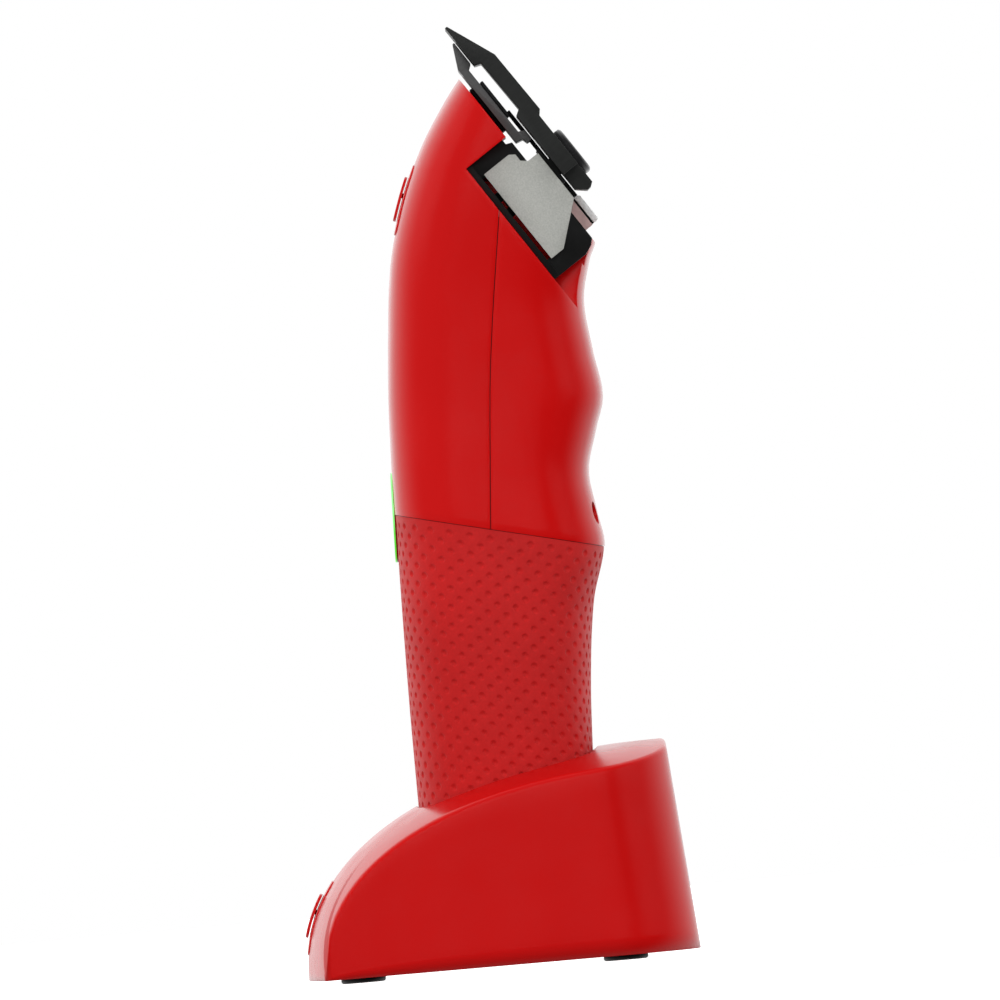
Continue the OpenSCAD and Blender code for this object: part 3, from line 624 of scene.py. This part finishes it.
def rear_housing():
    s = Shape()
    # Column fractions: 0..a is a side strip, a..b the tongue's shoulder, b..1-b the tongue
    a, b = 0.3, 0.36
    strip_n, shoulder_n, tongue_n = 18, 4, 26
    half = spread(0, a, strip_n) + spread(a, b, shoulder_n)[1:]
    fractions = half + spread(b, 1 - b, tongue_n)[1:] + [1 - f for f in reversed(half)][1:]
    inner = [i for i, f in enumerate(fractions) if a - 1e-9 <= f <= 1 - a + 1e-9]
    narrow = [i for i, f in enumerate(fractions) if b - 1e-9 <= f <= 1 - b + 1e-9]

    def at_x(z, x):
        u = x / half_width(z)
        return math.atan2((1 - u ** POWER) ** (1 / POWER), u)

    def angle(f, z):
        if f > 0.5:
            return math.pi - angle(1 - f, z)
        first = side_angle(z, joint_y(z) + PART_GAP)
        return float(np.interp(f, [0, a, b, 0.5], [first, at_x(z, TONGUE_X), at_x(z, TONGUE_TOP_X),
                                                   math.pi / 2]))

    def on(f, z, drop=0.0, inset=0.0):
        return sheared(z, angle(f, z), drop, inset)

    def top(f, n, lo, hi, inset=0.0):
        return solve(lambda z: blade_n(on(f, z, 0, inset)) - n, lo, hi)

    def shell(inset):
        """Rows from the seam up to the plane of the cut, on the surface or on its inside."""
        z_mid = 103
        tops = [top(f, CUT_N, z_mid, 137, inset) for f in fractions]
        rows = [[on(f, z, drop_at(z), inset) for f in fractions]
                for z in spread(SEAM_Z + SEAM_GAP, z_mid, 20)]
        for k in range(1, 13):
            rows.append([on(f, z_mid + (t - z_mid) * k / 12, 0, inset) for f, t in zip(fractions, tops)])
        return rows, tops

    outer, tops = shell(0.0)
    inside, _ = shell(SHELL_WALL)
    for rows in (outer, inside, [outer[0], inside[0]], [[r[0] for r in outer], [r[0] for r in inside]],
                 [[r[-1] for r in outer], [r[-1] for r in inside]]):
        s.grid([s.row(r) for r in rows])
    for side in (fractions[:inner[0] + 1], fractions[inner[-1]:]):
        columns = [fractions.index(f) for f in side]
        s.grid([s.row([rows[-1][i] for i in columns]) for rows in (outer, inside)])

    def block(columns, low, high):
        """Rows of these columns between the heights that each of them has."""
        steps = 8
        return [[on(fractions[i], l + (h - l) * k / steps) for i, l, h in zip(columns, low, high)]
                for k in range(steps + 1)]

    ledge_z = [top(fractions[i], LEDGE_N, 110, 136) for i in inner]
    ledge = block(inner, [tops[i] for i in inner], ledge_z)
    lip = block(narrow, ledge_z[shoulder_n:-shoulder_n],
                [top(fractions[i], TONGUE_TOP_N, 110, 140) for i in narrow])

    # Front of the tongue: a flat wall up to the ledge, then the lip that leans over the frame
    wall_sn = [(TONGUE_S, n) for n in spread(CUT_N, LEDGE_N, 8)]
    lip_sn = [(TONGUE_S, n) for n in spread(LEDGE_N, LIP_N, 2)]
    lip_sn += [(TONGUE_S - LIP_LEAN * k / 3, LIP_N + LIP_RISE * k / 3) for k in (1, 2, 3)]
    lip_sn += [(TONGUE_S - LIP_LEAN - k / 3, LIP_N + LIP_RISE + k / 3) for k in (1, 2, 3)]

    def front_rows(back, line):
        """The tongue's front face, its columns in line with those of its back."""
        return [[blade_point(p.x, *sn) for p in back[-1]] for sn in line]

    wall, nose = front_rows(ledge, wall_sn), front_rows(lip, lip_sn)
    nose[0] = wall[-1][shoulder_n:-shoulder_n]
    for back, front in ((ledge, wall), (lip, nose)):
        for rows in (back, front):
            s.grid([s.row(r) for r in rows])
        for end in (0, -1):
            s.grid([s.row([r[end] for r in rows]) for rows in (back, front)])
    s.grid([s.row(lip[-1]), s.row(nose[-1])])
    for part in (slice(0, shoulder_n + 1), slice(-shoulder_n - 1, None)):
        s.grid([s.row(ledge[-1][part]), s.row(wall[-1][part])])
    # Underside of the tongue, inside the shell
    under = [inside[-1][i] for i in inner]
    s.grid([s.row(under), s.row(wall[0])])
    for end in (0, -1):
        s.flat([ledge[0][end], under[end], wall[0][end]])
    obj = s.build("rear_housing_look", CLIP, outward=(CLIP @ Vector((0, 18, 90)), (0, 1, 0)))
    bevel(obj, EDGE_ROUND)
    for x in (-HOLE_X, HOLE_X):
        place = CLIP @ Matrix.Translation((x, 13, HOLE_Z)) @ Matrix.Rotation(radians(-90), 4, "X")
        cut(obj, prism(circle(HOLE_D, 40), 0, 16, place))
    shade(obj)
    finish_piece(obj, "rear_housing")


def joint_shade_strips():
    """Dark strips just below the surface in the joints between the shells, made black as painted shade in
    the gaps.
    """
    s = Shape()

    def strip(section):
        """Closed solid between the four edges of a strip."""
        s.grid([s.row(r) for r in section + section[:1]])
        for end in (0, -1):
            s.flat([r[end] for r in section])

    def corners(low, high, gap):
        return (low, -gap), (low, gap), (high, gap), (high, -gap)

    for side in (1, -1):
        section = []
        for inset, dy in corners(0.35, 1.9, 0.3):
            row = []
            for z in spread(SEAM_Z + 0.35, 133.5, 40):
                p = body(z, side_angle(z, joint_y(z) + dy), inset)
                row.append((side * p.x, p.y, p.z))
            section.append(row)
        strip(section)
    # Round the seam, and open at the front for the lit ring
    reach = math.pi - 0.29
    strip([[sheared(SEAM_Z + dz, math.pi / 2 + a, SEAM_DROP, inset) for a in spread(-reach, reach, 160)]
           for inset, dz in corners(0.5, 1.9, 0.25)])
    obj = s.build("joint_shade_strips", CLIP, merge=0.0001)
    shade(obj)
    # Black is painted shade: it stands in for the shadow deep in the joints
    extra_piece(obj, "clipper", "black_plastic")


def screw_sleeves():
    """Tubes behind the screw holes of the rear housing."""
    s = Shape()
    low, high, play, wall, chamfer = 9.2, 16.7, 0.05, 1.6, 0.3
    profile = [(play, low), (play, high), (wall, high), (wall, low + chamfer), (1.2, low)]
    for x in (-HOLE_X, HOLE_X):
        rows = [s.row([(x + u, y, HOLE_Z + v) for u, v in circle(HOLE_D + more, 40)])
                for more, y in profile]
        s.grid(rows + rows[:1], closed=True)
    obj = s.build("screw_sleeves", CLIP)
    shade(obj)
    extra_piece(obj, "clipper", "body_red")


# ---- Lit ring ----

def band_ring(name, profile):
    """Ring round the button from a closed profile of (distance in from the outline, height)."""
    s = Shape()
    rows = [s.row([(x, y, h) for x, y in oblong(RING_LEN - 2 * d, RING_W - 2 * d)]) for d, h in profile]
    s.grid(rows + rows[:1], closed=True)
    obj = s.build(name, on_front(BUTTON_Z, BUTTON_TILT))
    shade(obj)
    return obj


def lit_ring():
    low, step, high, r = -2.4, 0.03, 0.36, 0.1
    w = RING_BAND
    finish_piece(band_ring("light_ring_look", [
        (0, step), (0, high - r), (0.3 * r, high - 0.3 * r), (r, high), (w - r, high),
        (w - 0.3 * r, high - 0.3 * r), (w, high - r), (w, step)]), "light_ring")
    extra_piece(band_ring("ring_bezel", [(0, low), (0, step), (w, step), (w, low)]),
                "clipper", "button_red")


# ---- Grip sleeve with its dimples ----

# Millimetres from dimple to dimple in a line, and from line to line
DIMPLE_PITCH, LINE_PITCH = 3.7, 1.84
# Radius and depth of the rings of one dimple, and the depth of its middle
DIMPLE_RINGS = [(0.82, 0.0), (0.7, 0.015), (0.6, 0.11), (0.4, 0.235), (0.2, 0.285)]
DIMPLE_DEPTH = 0.3


def grip_sleeve():
    s = Shape()
    top_z, low_z, step_in, wall = SEAM_Z - SEAM_GAP, 6.0, 0.2, 2.2
    drop_fade = 24
    # Lengths round the body, so that the dimples are evenly spaced
    table = np.linspace(0, 2 * math.pi, 1441)
    ring = np.array([body(50, a) for a in table])
    length = np.concatenate([[0], np.cumsum(np.linalg.norm(np.diff(ring, axis=0), axis=1))])
    count = int(round(length[-1] / DIMPLE_PITCH))
    lines = int(round((top_z - low_z) / LINE_PITCH))

    def surface(u, v, depth):
        """Points at u dimples round and v lines down, sunk by depth."""
        u, v, depth = (np.asarray(w, float) for w in (u, v, depth))
        z0 = top_z + (low_z - top_z) * v / lines
        drop = SEAM_DROP * np.clip((z0 - low_z) / drop_fade, 0, 1)
        a = np.interp(np.mod(u, count) / count * length[-1], length, table)
        c, sn = np.cos(a), np.sin(a)
        r = (np.abs(c) ** POWER + np.abs(sn) ** POWER) ** (-1 / POWER)
        inset = step_in + depth

        def y_at(z):
            return (front_y(z) + back_y(z)) / 2 + ((back_y(z) - front_y(z)) / 2 - inset) * r * sn
        z = z0 - drop * y_at(z0)
        return [Vector(p) for p in np.stack([(half_width(z) - inset) * r * c, y_at(z), z], -1)]

    # Each dimple sits in a diamond, which meets those of the lines above and below
    edge_n = 3
    corners = [(0.5, 0), (0, 1), (-0.5, 0), (0, -1)]
    outline = []
    for (u0, v0), (u1, v1) in zip(corners, corners[1:] + corners[:1]):
        outline += [(u0 + (u1 - u0) * k / edge_n, v0 + (v1 - v0) * k / edge_n) for k in range(edge_n)]
    n = len(outline)
    pitch_u, pitch_v = length[-1] / count, (top_z - low_z) / lines
    turns = [math.atan2(v * pitch_v, u * pitch_u) for u, v in outline]
    dimple = [(u, v, 0.0) for u, v in outline]
    for r, d in DIMPLE_RINGS:
        dimple += [(r * cos(t) / pitch_u, r * sin(t) / pitch_v, d) for t in turns]
    dimple.append((0.0, 0.0, DIMPLE_DEPTH))
    us, vs, ds = np.array(dimple).T
    last = len(DIMPLE_RINGS) * n
    for j in range(1, lines):
        for i in range(count):
            first = len(s.points)
            s.points += surface(us + i + 0.5 * (j % 2), vs + j, ds)
            for k in range(len(DIMPLE_RINGS)):
                for m in range(n):
                    p, q = first + k * n + m, first + k * n + (m + 1) % n
                    s.faces.append((p, q, q + n, p + n))
            for m in range(n):
                s.faces.append((first + last + m, first + last + (m + 1) % n, first + last + n))
    # Half diamonds along the top and the bottom edge
    for j, way in ((0, 1), (lines, -1)):
        for i in range(count):
            mid = i + 0.5 * (j % 2)
            half = [(mid - 0.5 + k / edge_n * 0.5, j + way * k / edge_n) for k in range(edge_n)]
            half += [(mid + k / edge_n * 0.5, j + way * (1 - k / edge_n)) for k in range(edge_n + 1)]
            first = len(s.points)
            s.points += surface([h[0] for h in half], [h[1] for h in half], [0] * len(half))
            centre = s.row(surface([mid], [j], [0]))[0]
            for k in range(len(half) - 1):
                s.faces.append((first + k, first + k + 1, centre))
    # Top and bottom edge, and the inside
    around = 2 * count
    phase = {0: 0.0, lines: 0.5 * (lines % 2)}
    edges = {}
    for j in (0, lines):
        u = np.arange(around) / 2 + phase[j]
        edges[j] = [s.row(surface(u, [j] * around, [d] * around)) for d in (0, wall)]
        s.strip(*edges[j], closed=True)
    rows = [edges[0][1]]
    for j in range(3, lines - 2, 4):
        u = np.arange(around) / 2 + phase[lines] * j / lines
        rows.append(s.row(surface(u, [j] * around, [wall] * around)))
    rows.append(edges[lines][1])
    s.grid(rows, closed=True)
    obj = s.build("grip_sleeve_look", CLIP, outward=(CLIP @ Vector((0, -20, 40)), (0, -1, 0)))
    cut(obj, ring_hole())
    shade(obj, 50)
    finish_piece(obj, "grip_sleeve")


# ---- Stand ----

HALF_W, BASE_Z, BACK_Y, DRAFT, CORNER_R = 34.0, 1.0, 39.3, 4.8, 16.0
# The crown is a quarter of a rounded oval of this power, with its middle at CROWN_Y
CROWN_Y, CROWN_POWER = 35.8, 2.2
STAND_WALL, MOUTH_ROUND = 2.2, 0.35
MOUTH_X, MOUTH_Y, MOUTH_DEPTH = 22.1, 1.4, 17.9
INLET_D, INLET_Z = 7.9, 8.65


def crown_a(x):
    """Length of the crown."""
    return 75.1 - 3.55 * (x / HALF_W) ** 2


def crown_b(x):
    """Height of the crown."""
    return 42.2 - 4.4 * (x / HALF_W) ** 2


def crown_z(x, y):
    c = max(0.0, (CROWN_Y - y) / crown_a(x))
    return BASE_Z + crown_b(x) * max(0.0, 1 - min(c, 1) ** CROWN_POWER) ** (1 / CROWN_POWER)


def crown_depth(p, h):
    """Above zero outside the crown grown by h."""
    c = max(0.0, (CROWN_Y - p.y) / (crown_a(p.x) + h))
    return c ** CROWN_POWER + (max(0.0, p.z - BASE_Z) / (crown_b(p.x) + h)) ** CROWN_POWER - 1


def crown_turn(x, y):
    """Place along the crown, 0 at the front edge and a quarter turn at the top."""
    c = (CROWN_Y - y) / crown_a(x)
    if c < 0:
        return math.pi / 2 - c
    return math.acos(min(1.0, c ** (CROWN_POWER / 2)))


def crown_point(x, q):
    """The crown's point at place q, as crown_turn counts it."""
    if q > math.pi / 2:
        return Vector((x, CROWN_Y + (q - math.pi / 2) * crown_a(x), BASE_Z + crown_b(x)))
    c, sn = max(0.0, cos(q)), max(0.0, sin(q))
    return Vector((x, CROWN_Y - crown_a(x) * c ** (2 / CROWN_POWER),
                   BASE_Z + crown_b(x) * sn ** (2 / CROWN_POWER)))


def mouth_point(turn, grow, h):
    """Point of the mouth's outline grown by grow, at height h in the clipper's frame."""
    cx, cy = lame(turn)
    return CLIP @ Vector(((MOUTH_X + grow) * cx, MOUTH_Y + (MOUTH_DEPTH + grow) * cy, h))


def mouth_edge(turn, grow):
    """Height at which that outline meets the crown."""
    def above(h):
        p = mouth_point(turn, grow, h)
        return p.z - crown_z(p.x, p.y)
    return solve(above, 0, 60)


def at_mouth(p):
    """Whether a point is on the mouth's wall or its rounded rim."""
    p = CLIP.inverted() @ p
    grow = MOUTH_ROUND * 0.98
    x, y = abs(p.x) / (MOUTH_X + grow), abs(p.y - MOUTH_Y) / (MOUTH_DEPTH + grow)
    return x ** POWER + y ** POWER < 1


def rounded(a, corner, b, f):
    """Point at f, from 0 to 1, of the arc from a to b inside a corner."""
    return (1 - f) ** 2 * a + 2 * f * (1 - f) * corner + f * f * b


def smooth_crown(obj):
    """Give the crown's vertices its exact normals, and leave those near its edges."""
    step, normals = 0.01, []
    for v in obj.data.vertices:
        p = v.co / MM
        if p.z < 6 or abs(crown_depth(p, 0)) > 1e-5 or abs(p.x) > HALF_W - 1.2:
            normals.append((0, 0, 0))
            continue
        grad = [crown_depth(p + step * a, 0) - crown_depth(p - step * a, 0)
                for a in (Vector((1, 0, 0)), Vector((0, 1, 0)), Vector((0, 0, 1)))]
        normals.append(Vector(grad).normalized())
    obj.data.normals_split_custom_set_from_vertices(normals)


def stand_shell():
    s = Shape()
    front_n, side_n, arc_n, back_n, ring_n, wall_n, round_n = 56, 40, 16, 24, 28, 10, 5
    front_end = CROWN_Y - crown_a(HALF_W)

    def outline(i, z, inset=0.0):
        """Point i of the edge seen from above, at height z."""
        back = BACK_Y - (z - BASE_Z) * math.tan(radians(DRAFT))
        w, r = HALF_W - inset, CORNER_R - inset
        if i <= front_n:
            x = -HALF_W + 2 * HALF_W * i / front_n
            return x, CROWN_Y - crown_a(x)
        i -= front_n
        if i <= side_n:
            return w, front_end + (back - CORNER_R - front_end) * i / side_n
        i -= side_n
        if i <= arc_n:
            t = math.pi / 2 * i / arc_n
            return HALF_W - CORNER_R + r * cos(t), back - CORNER_R + r * sin(t)
        i -= arc_n
        if i <= back_n:
            return (HALF_W - CORNER_R) * (1 - 2 * i / back_n), back - inset
        # The -X side mirrors the +X side
        x, y = outline(front_n + side_n + arc_n + back_n - i, z, inset)
        return -x, y

    total = front_n + 2 * side_n + 2 * arc_n + back_n
    # Height of the crease, where the crown meets the leaning sides, and its rounding
    edge = []
    for i in range(total):
        z = 20.0
        for _ in range(30):
            x, y = outline(i, z)
            z = crown_z(x, y)
        edge.append(BASE_Z if i <= front_n else z)
    fillet = [0.0 if i <= front_n else min(1.1, 0.4 * (edge[i] - BASE_Z)) for i in range(total)]

    # Places on the crown at its outer edge, and at the mouth in the same direction
    outer, inner = [], []
    for i in range(total):
        x, y = outline(i, edge[i], fillet[i])
        outer.append((x, 0.0 if i <= front_n else crown_turn(x, y)))
        turn = math.atan2(y - 2.5, x)
        p = mouth_point(turn, MOUTH_ROUND, mouth_edge(turn, MOUTH_ROUND))
        inner.append((p.x, crown_turn(p.x, p.y), turn))

    # Inside of the mouth, its rounded rim, then the crown out to the crease
    rows, depth = [], 2.6
    for k in range(3):
        rows.append([mouth_point(t, 0, mouth_edge(t, 0) - depth + (depth - MOUTH_ROUND) * k / 3)
                     for _, _, t in inner])
    for k in range(round_n):
        row = []
        for _, _, t in inner:
            h = mouth_edge(t, 0)
            row.append(rounded(mouth_point(t, 0, h - MOUTH_ROUND), mouth_point(t, 0, h),
                               mouth_point(t, MOUTH_ROUND, mouth_edge(t, MOUTH_ROUND)), k / round_n))
        rows.append(row)
    for k in range(ring_n + 1):
        f = k / ring_n
        rows.append([crown_point(xi + (xo - xi) * f, qi + (qo - qi) * f)
                     for (xi, qi, _), (xo, qo) in zip(inner, outer)])
    # The rounded crease, then the sides down to the base
    crease = rows[-1]
    for k in range(1, round_n + 1):
        rows.append([rounded(crease[i], Vector((*outline(i, z), z)),
                             Vector((*outline(i, z - r), z - r)), k / round_n)
                     for i, (z, r) in enumerate(zip(edge, fillet))])
    for k in range(1, wall_n + 1):
        row = []
        for i in range(total):
            z = edge[i] - fillet[i]
            z += (BASE_Z - z) * k / wall_n
            row.append(Vector((*outline(i, z), z)))
        rows.append(row)
    s.grid([s.row(r) for r in rows], closed=True)
    obj = s.build("stand_shell_look", outward=((0, -30, 25), (0, -1, 1)), merge=0.01)
    solidify(obj, STAND_WALL, at_mouth)
    for v in obj.data.vertices:
        v.co.z = max(v.co.z, BASE_Z * MM)
    inlet = Matrix.Translation((0, BACK_Y + 1, INLET_Z)) @ Matrix.Rotation(radians(90), 4, "X")
    cut(obj, prism(circle(INLET_D, 48), 0, 8, inlet))
    shade(obj, 40)
    smooth_crown(obj)
    finish_piece(obj, "stand_shell")


# ---- Badges and ribs ----

def body_depth(p, h):
    """Above zero outside the clipper's body grown by h."""
    p = CLIP.inverted() @ p
    x = abs(p.x) / (half_width(p.z) + h)
    y = abs(p.y - mid_y(p.z)) / ((back_y(p.z) - front_y(p.z)) / 2 + h)
    return x ** POWER + y ** POWER - 1


def height_over(place, depth, u, v, h):
    """Height above (u, v) in a place at which the surface of a depth function, grown by h, lies."""
    return solve(lambda w: depth(place @ Vector((u, v, w)), h), -9, 9)


def pad(name, outline, place, depth, low, high, edge):
    """Plate with a rounded edge that follows a surface, between two heights above it."""
    s = Shape()
    # Steps of about a millimetre, so that the straight edges follow the surface as well
    points = []
    for (x0, y0), (x1, y1) in zip(outline, outline[1:] + outline[:1]):
        n = max(1, round(math.hypot(x1 - x0, y1 - y0)))
        points += [(x0 + (x1 - x0) * k / n, y0 + (y1 - y0) * k / n) for k in range(n)]

    def at(u, v, h):
        return place @ Vector((u, v, height_over(place, depth, u, v, h)))

    def ring(h, inset=0.0, scale=1.0):
        out = []
        for u, v in points:
            k = scale * (1 - inset / math.hypot(u, v))
            out.append(at(u * k, v * k, h))
        return out

    rows = [ring(low, 0, f) for f in (0.25, 0.5, 0.75, 1)]
    rows += [ring(high - edge), ring(high - 0.3 * edge, 0.3 * edge)]
    rows += [ring(high, edge, f) for f in (1, 0.75, 0.5, 0.25)]
    rings = [s.row(r) for r in rows]
    s.grid(rings, closed=True)
    s.fan(rings[-1], at(0, 0, high))
    s.fan(list(reversed(rings[0])), at(0, 0, low))
    obj = s.build(name)
    shade(obj, 40)
    return obj


def bead(name, place, depth, h, r):
    """Small round stud on a surface, up to height h."""
    s = Shape()
    base = height_over(place, depth, 0, 0, 0)
    rows = [(0.8 * r, -0.3), (r, 0.1), (r, h - 0.5 * r), (0.87 * r, h - 0.25 * r), (0.5 * r, h - 0.07 * r)]
    rings = [s.row([(x, y, base + z) for x, y in circle(2 * q, 28)]) for q, z in rows]
    s.grid(rings, closed=True)
    s.fan(rings[-1], (0, 0, base + h))
    s.fan(list(reversed(rings[0])), (0, 0, base - 0.3))
    obj = s.build(name, place)
    shade(obj, 50)
    return obj


def badges():
    """A thin plate, and a raised one that stands off it on a bright stud."""
    on_stand = Matrix.Translation((0, -37.3, 13.9)) @ Matrix.Rotation(radians(67.7), 4, "X")
    on_clipper = on_front(BADGE_Z, BADGE_TILT)
    for name, body_name, slot, place, depth, size in (
            ("stand_badge", "stand", "stand_red", on_stand, crown_depth, (15.6, 17)),
            ("clipper_badge", "clipper", "body_red", on_clipper, body_depth, (BADGE_LEN, BADGE_W))):
        finish_piece(pad(name + "_look", plate(*size, 2.5, 12), place, depth, -0.3, 0.25, 0.1), name)
        finish_piece(pad(name + "_raised", plate(9.2, 11, 2, 12), place, depth, 0.48, 1.04, 0.15),
                     name + "_inlay", slot)
        extra_piece(bead(name + "_stud", place @ Matrix.Translation((0, 0.8, 0)), depth, 0.56, 0.55),
                    body_name, "chrome")


def slot_ribs():
    """Red ribs of the housing, seen through the slots in the sides of the frame."""
    s = Shape()
    (s0, s1), (n0, n1) = (27.4, 50.4), (CUT_N + 0.1, -9.9)
    outline = [(s0, n0), (s1, n0), (s1, n1), (s0, n1)]
    for side in (1, -1):
        near, far = ([blade_point(side * x, *sn) for sn in outline] for x in (13.2, 13.95))
        s.grid([s.row(near), s.row(far)], closed=True)
        s.flat(near)
        s.flat(far)
    obj = s.build("slot_ribs", CLIP)
    bevel(obj, 0.15)
    shade(obj)
    extra_piece(obj, "clipper", "body_red")


front_cover()
rear_housing()
joint_shade_strips()
screw_sleeves()
lit_ring()
grip_sleeve()
stand_shell()
badges()
slot_ribs()

# ---- Hard parts, from their CAD shapes ----

# How far the edges of each are rounded, in millimetres
EDGES = {
    "rubber_feet": 0.2, "power_inlet": 0.2, "base_screws": 0.1, "stand_base": 0.2, "dock_well": 0.25,
    "contact_block": 0.2, "charge_pins": 0.12, "ballast_plate": 0.3, "stand_circuit_board": 0.08,
    "bottom_cap": 0.3, "contact_plates": 0.1, "housing_screws": 0.1,
    "power_button": 0.4, "power_switch": 0.15,
    "control_board": 0.08, "battery_cell": 0.35, "battery_holder": 0.2, "motor_can": 0.35,
    "motor_magnets": 0.15, "motor_end_cap": 0.25, "motor_bearings": 0.15, "motor_mount": 0.15,
    "motor_screws": 0.12, "armature": 0.2, "motor_shaft": 0.1, "eccentric_cam": 0.12,
    "head_frame": 0.16, "blade_bracket": 0.12, "seat_pads": 0.08, "fixed_blade": 0.05,
    "blade_screws": 0.16, "cutter_guide": 0.1, "cutter_blade": 0.05, "drive_fork": 0.12,
    "lever_shaft": 0.12, "lever_arm": 0.12, "lever_gasket": 0.05, "lever_pad": 0.1, "lever_screw": 0.1,
}
# Materials that differ from the one of the node's slot
LOOKS = {"lever_arm": "lever_polished"}
for node_name, edge_width in EDGES.items():
    refine(node_name, edge_width, LOOKS.get(node_name))


# ---- Floor, light and camera ----

def floor():
    bpy.ops.mesh.primitive_circle_add(vertices=96, radius=1.2, fill_type="NGON", location=(0, 0, 0))
    obj = bpy.context.object
    obj.name = "floor"
    m = Nodes("floor", (0.9, 0.9, 0.9), 0.6)
    m.set("Emission Color", (1, 1, 1, 1))
    m.set("Emission Strength", 1.0)
    m.vary_color(m.noise(60, 2), 0.3, 0.7, 0.985, 1.0)
    obj.data.materials.append(m.mat)
    obj.visible_diffuse = obj.visible_glossy = False


def area(name, at, size, power):
    """Square lamp, in metres, that looks at the middle of the object."""
    light = bpy.data.lights.new(name, "AREA")
    light.shape, light.size, light.size_y = "RECTANGLE", size, size
    light.energy, light.color = power, (1, 1, 1)
    obj = bpy.data.objects.new(name, light)
    bpy.context.scene.collection.objects.link(obj)
    at, aim = Vector(at), Vector((0, 0, 0.09))
    obj.matrix_world = Matrix.Translation(at) @ (aim - at).to_track_quat("-Z", "Y").to_matrix().to_4x4()
    obj.visible_glossy = False


def studio():
    world = bpy.data.worlds.new("studio")
    bpy.context.scene.world = world
    world.use_nodes = True
    tree = world.node_tree
    tree.nodes.clear()

    def node(kind, **values):
        n = tree.nodes.new(kind)
        for k, v in values.items():
            setattr(n, k, v)
        return n

    # The room is bright behind and around the object and dim on the camera's side
    coords = node("ShaderNodeTexCoord")
    axes = node("ShaderNodeSeparateXYZ")
    tree.links.new(coords.outputs["Generated"], axes.inputs[0])
    side = node("ShaderNodeMapRange", interpolation_type="SMOOTHSTEP")
    near = node("ShaderNodeMapRange", interpolation_type="SMOOTHSTEP")
    for n, values, axis in ((near, (-0.6, 0.45, 0.26, 0.05), "Y"), (side, (0.55, -0.55, 0.1, 1.15), "X")):
        for k, v in zip(("From Min", "From Max", "To Min", "To Max"), values):
            n.inputs[k].default_value = v
        tree.links.new(axes.outputs[axis], n.inputs["Value"])
    tree.links.new(near.outputs["Result"], side.inputs["To Min"])
    lit = node("ShaderNodeBackground")
    tree.links.new(side.outputs["Result"], lit.inputs["Strength"])
    white = node("ShaderNodeBackground")
    white.inputs["Strength"].default_value = 1.0
    for n in (lit, white):
        n.inputs["Color"].default_value = (1, 1, 1, 1)
    path = node("ShaderNodeLightPath")
    mix = node("ShaderNodeMixShader")
    out = node("ShaderNodeOutputWorld")
    tree.links.new(path.outputs["Is Camera Ray"], mix.inputs["Fac"])
    tree.links.new(lit.outputs[0], mix.inputs[1])
    tree.links.new(white.outputs[0], mix.inputs[2])
    tree.links.new(mix.outputs[0], out.inputs["Surface"])
    area("key", (0.6, -1.3, 0.75), 0.9, 11)
    area("fill", (0.9, 1.2, 0.5), 0.9, 7)
    area("front", (2.0, 0.1, 0.8), 1.4, 25.5)
    bpy.context.scene.view_settings.view_transform = "Standard"


def camera():
    """Camera far off on +X, turned a little, with this width of the object in view."""
    data = bpy.data.cameras.new("camera")
    obj = bpy.data.objects.new("camera", data)
    bpy.context.scene.collection.objects.link(obj)
    data.lens, data.sensor_width, data.clip_end = 1300, 36, 50
    view_width, roll = 0.2, radians(5)
    distance = view_width * data.lens / data.sensor_width
    right, up = Vector((0, cos(roll), -sin(roll))), Vector((0, sin(roll), cos(roll)))
    turn = Matrix((right, up, (1, 0, 0))).transposed().to_4x4()
    obj.matrix_world = Matrix.Translation((distance, 0.00711, 0.09345)) @ turn
    bpy.context.scene.camera = obj


floor()
studio()
camera()
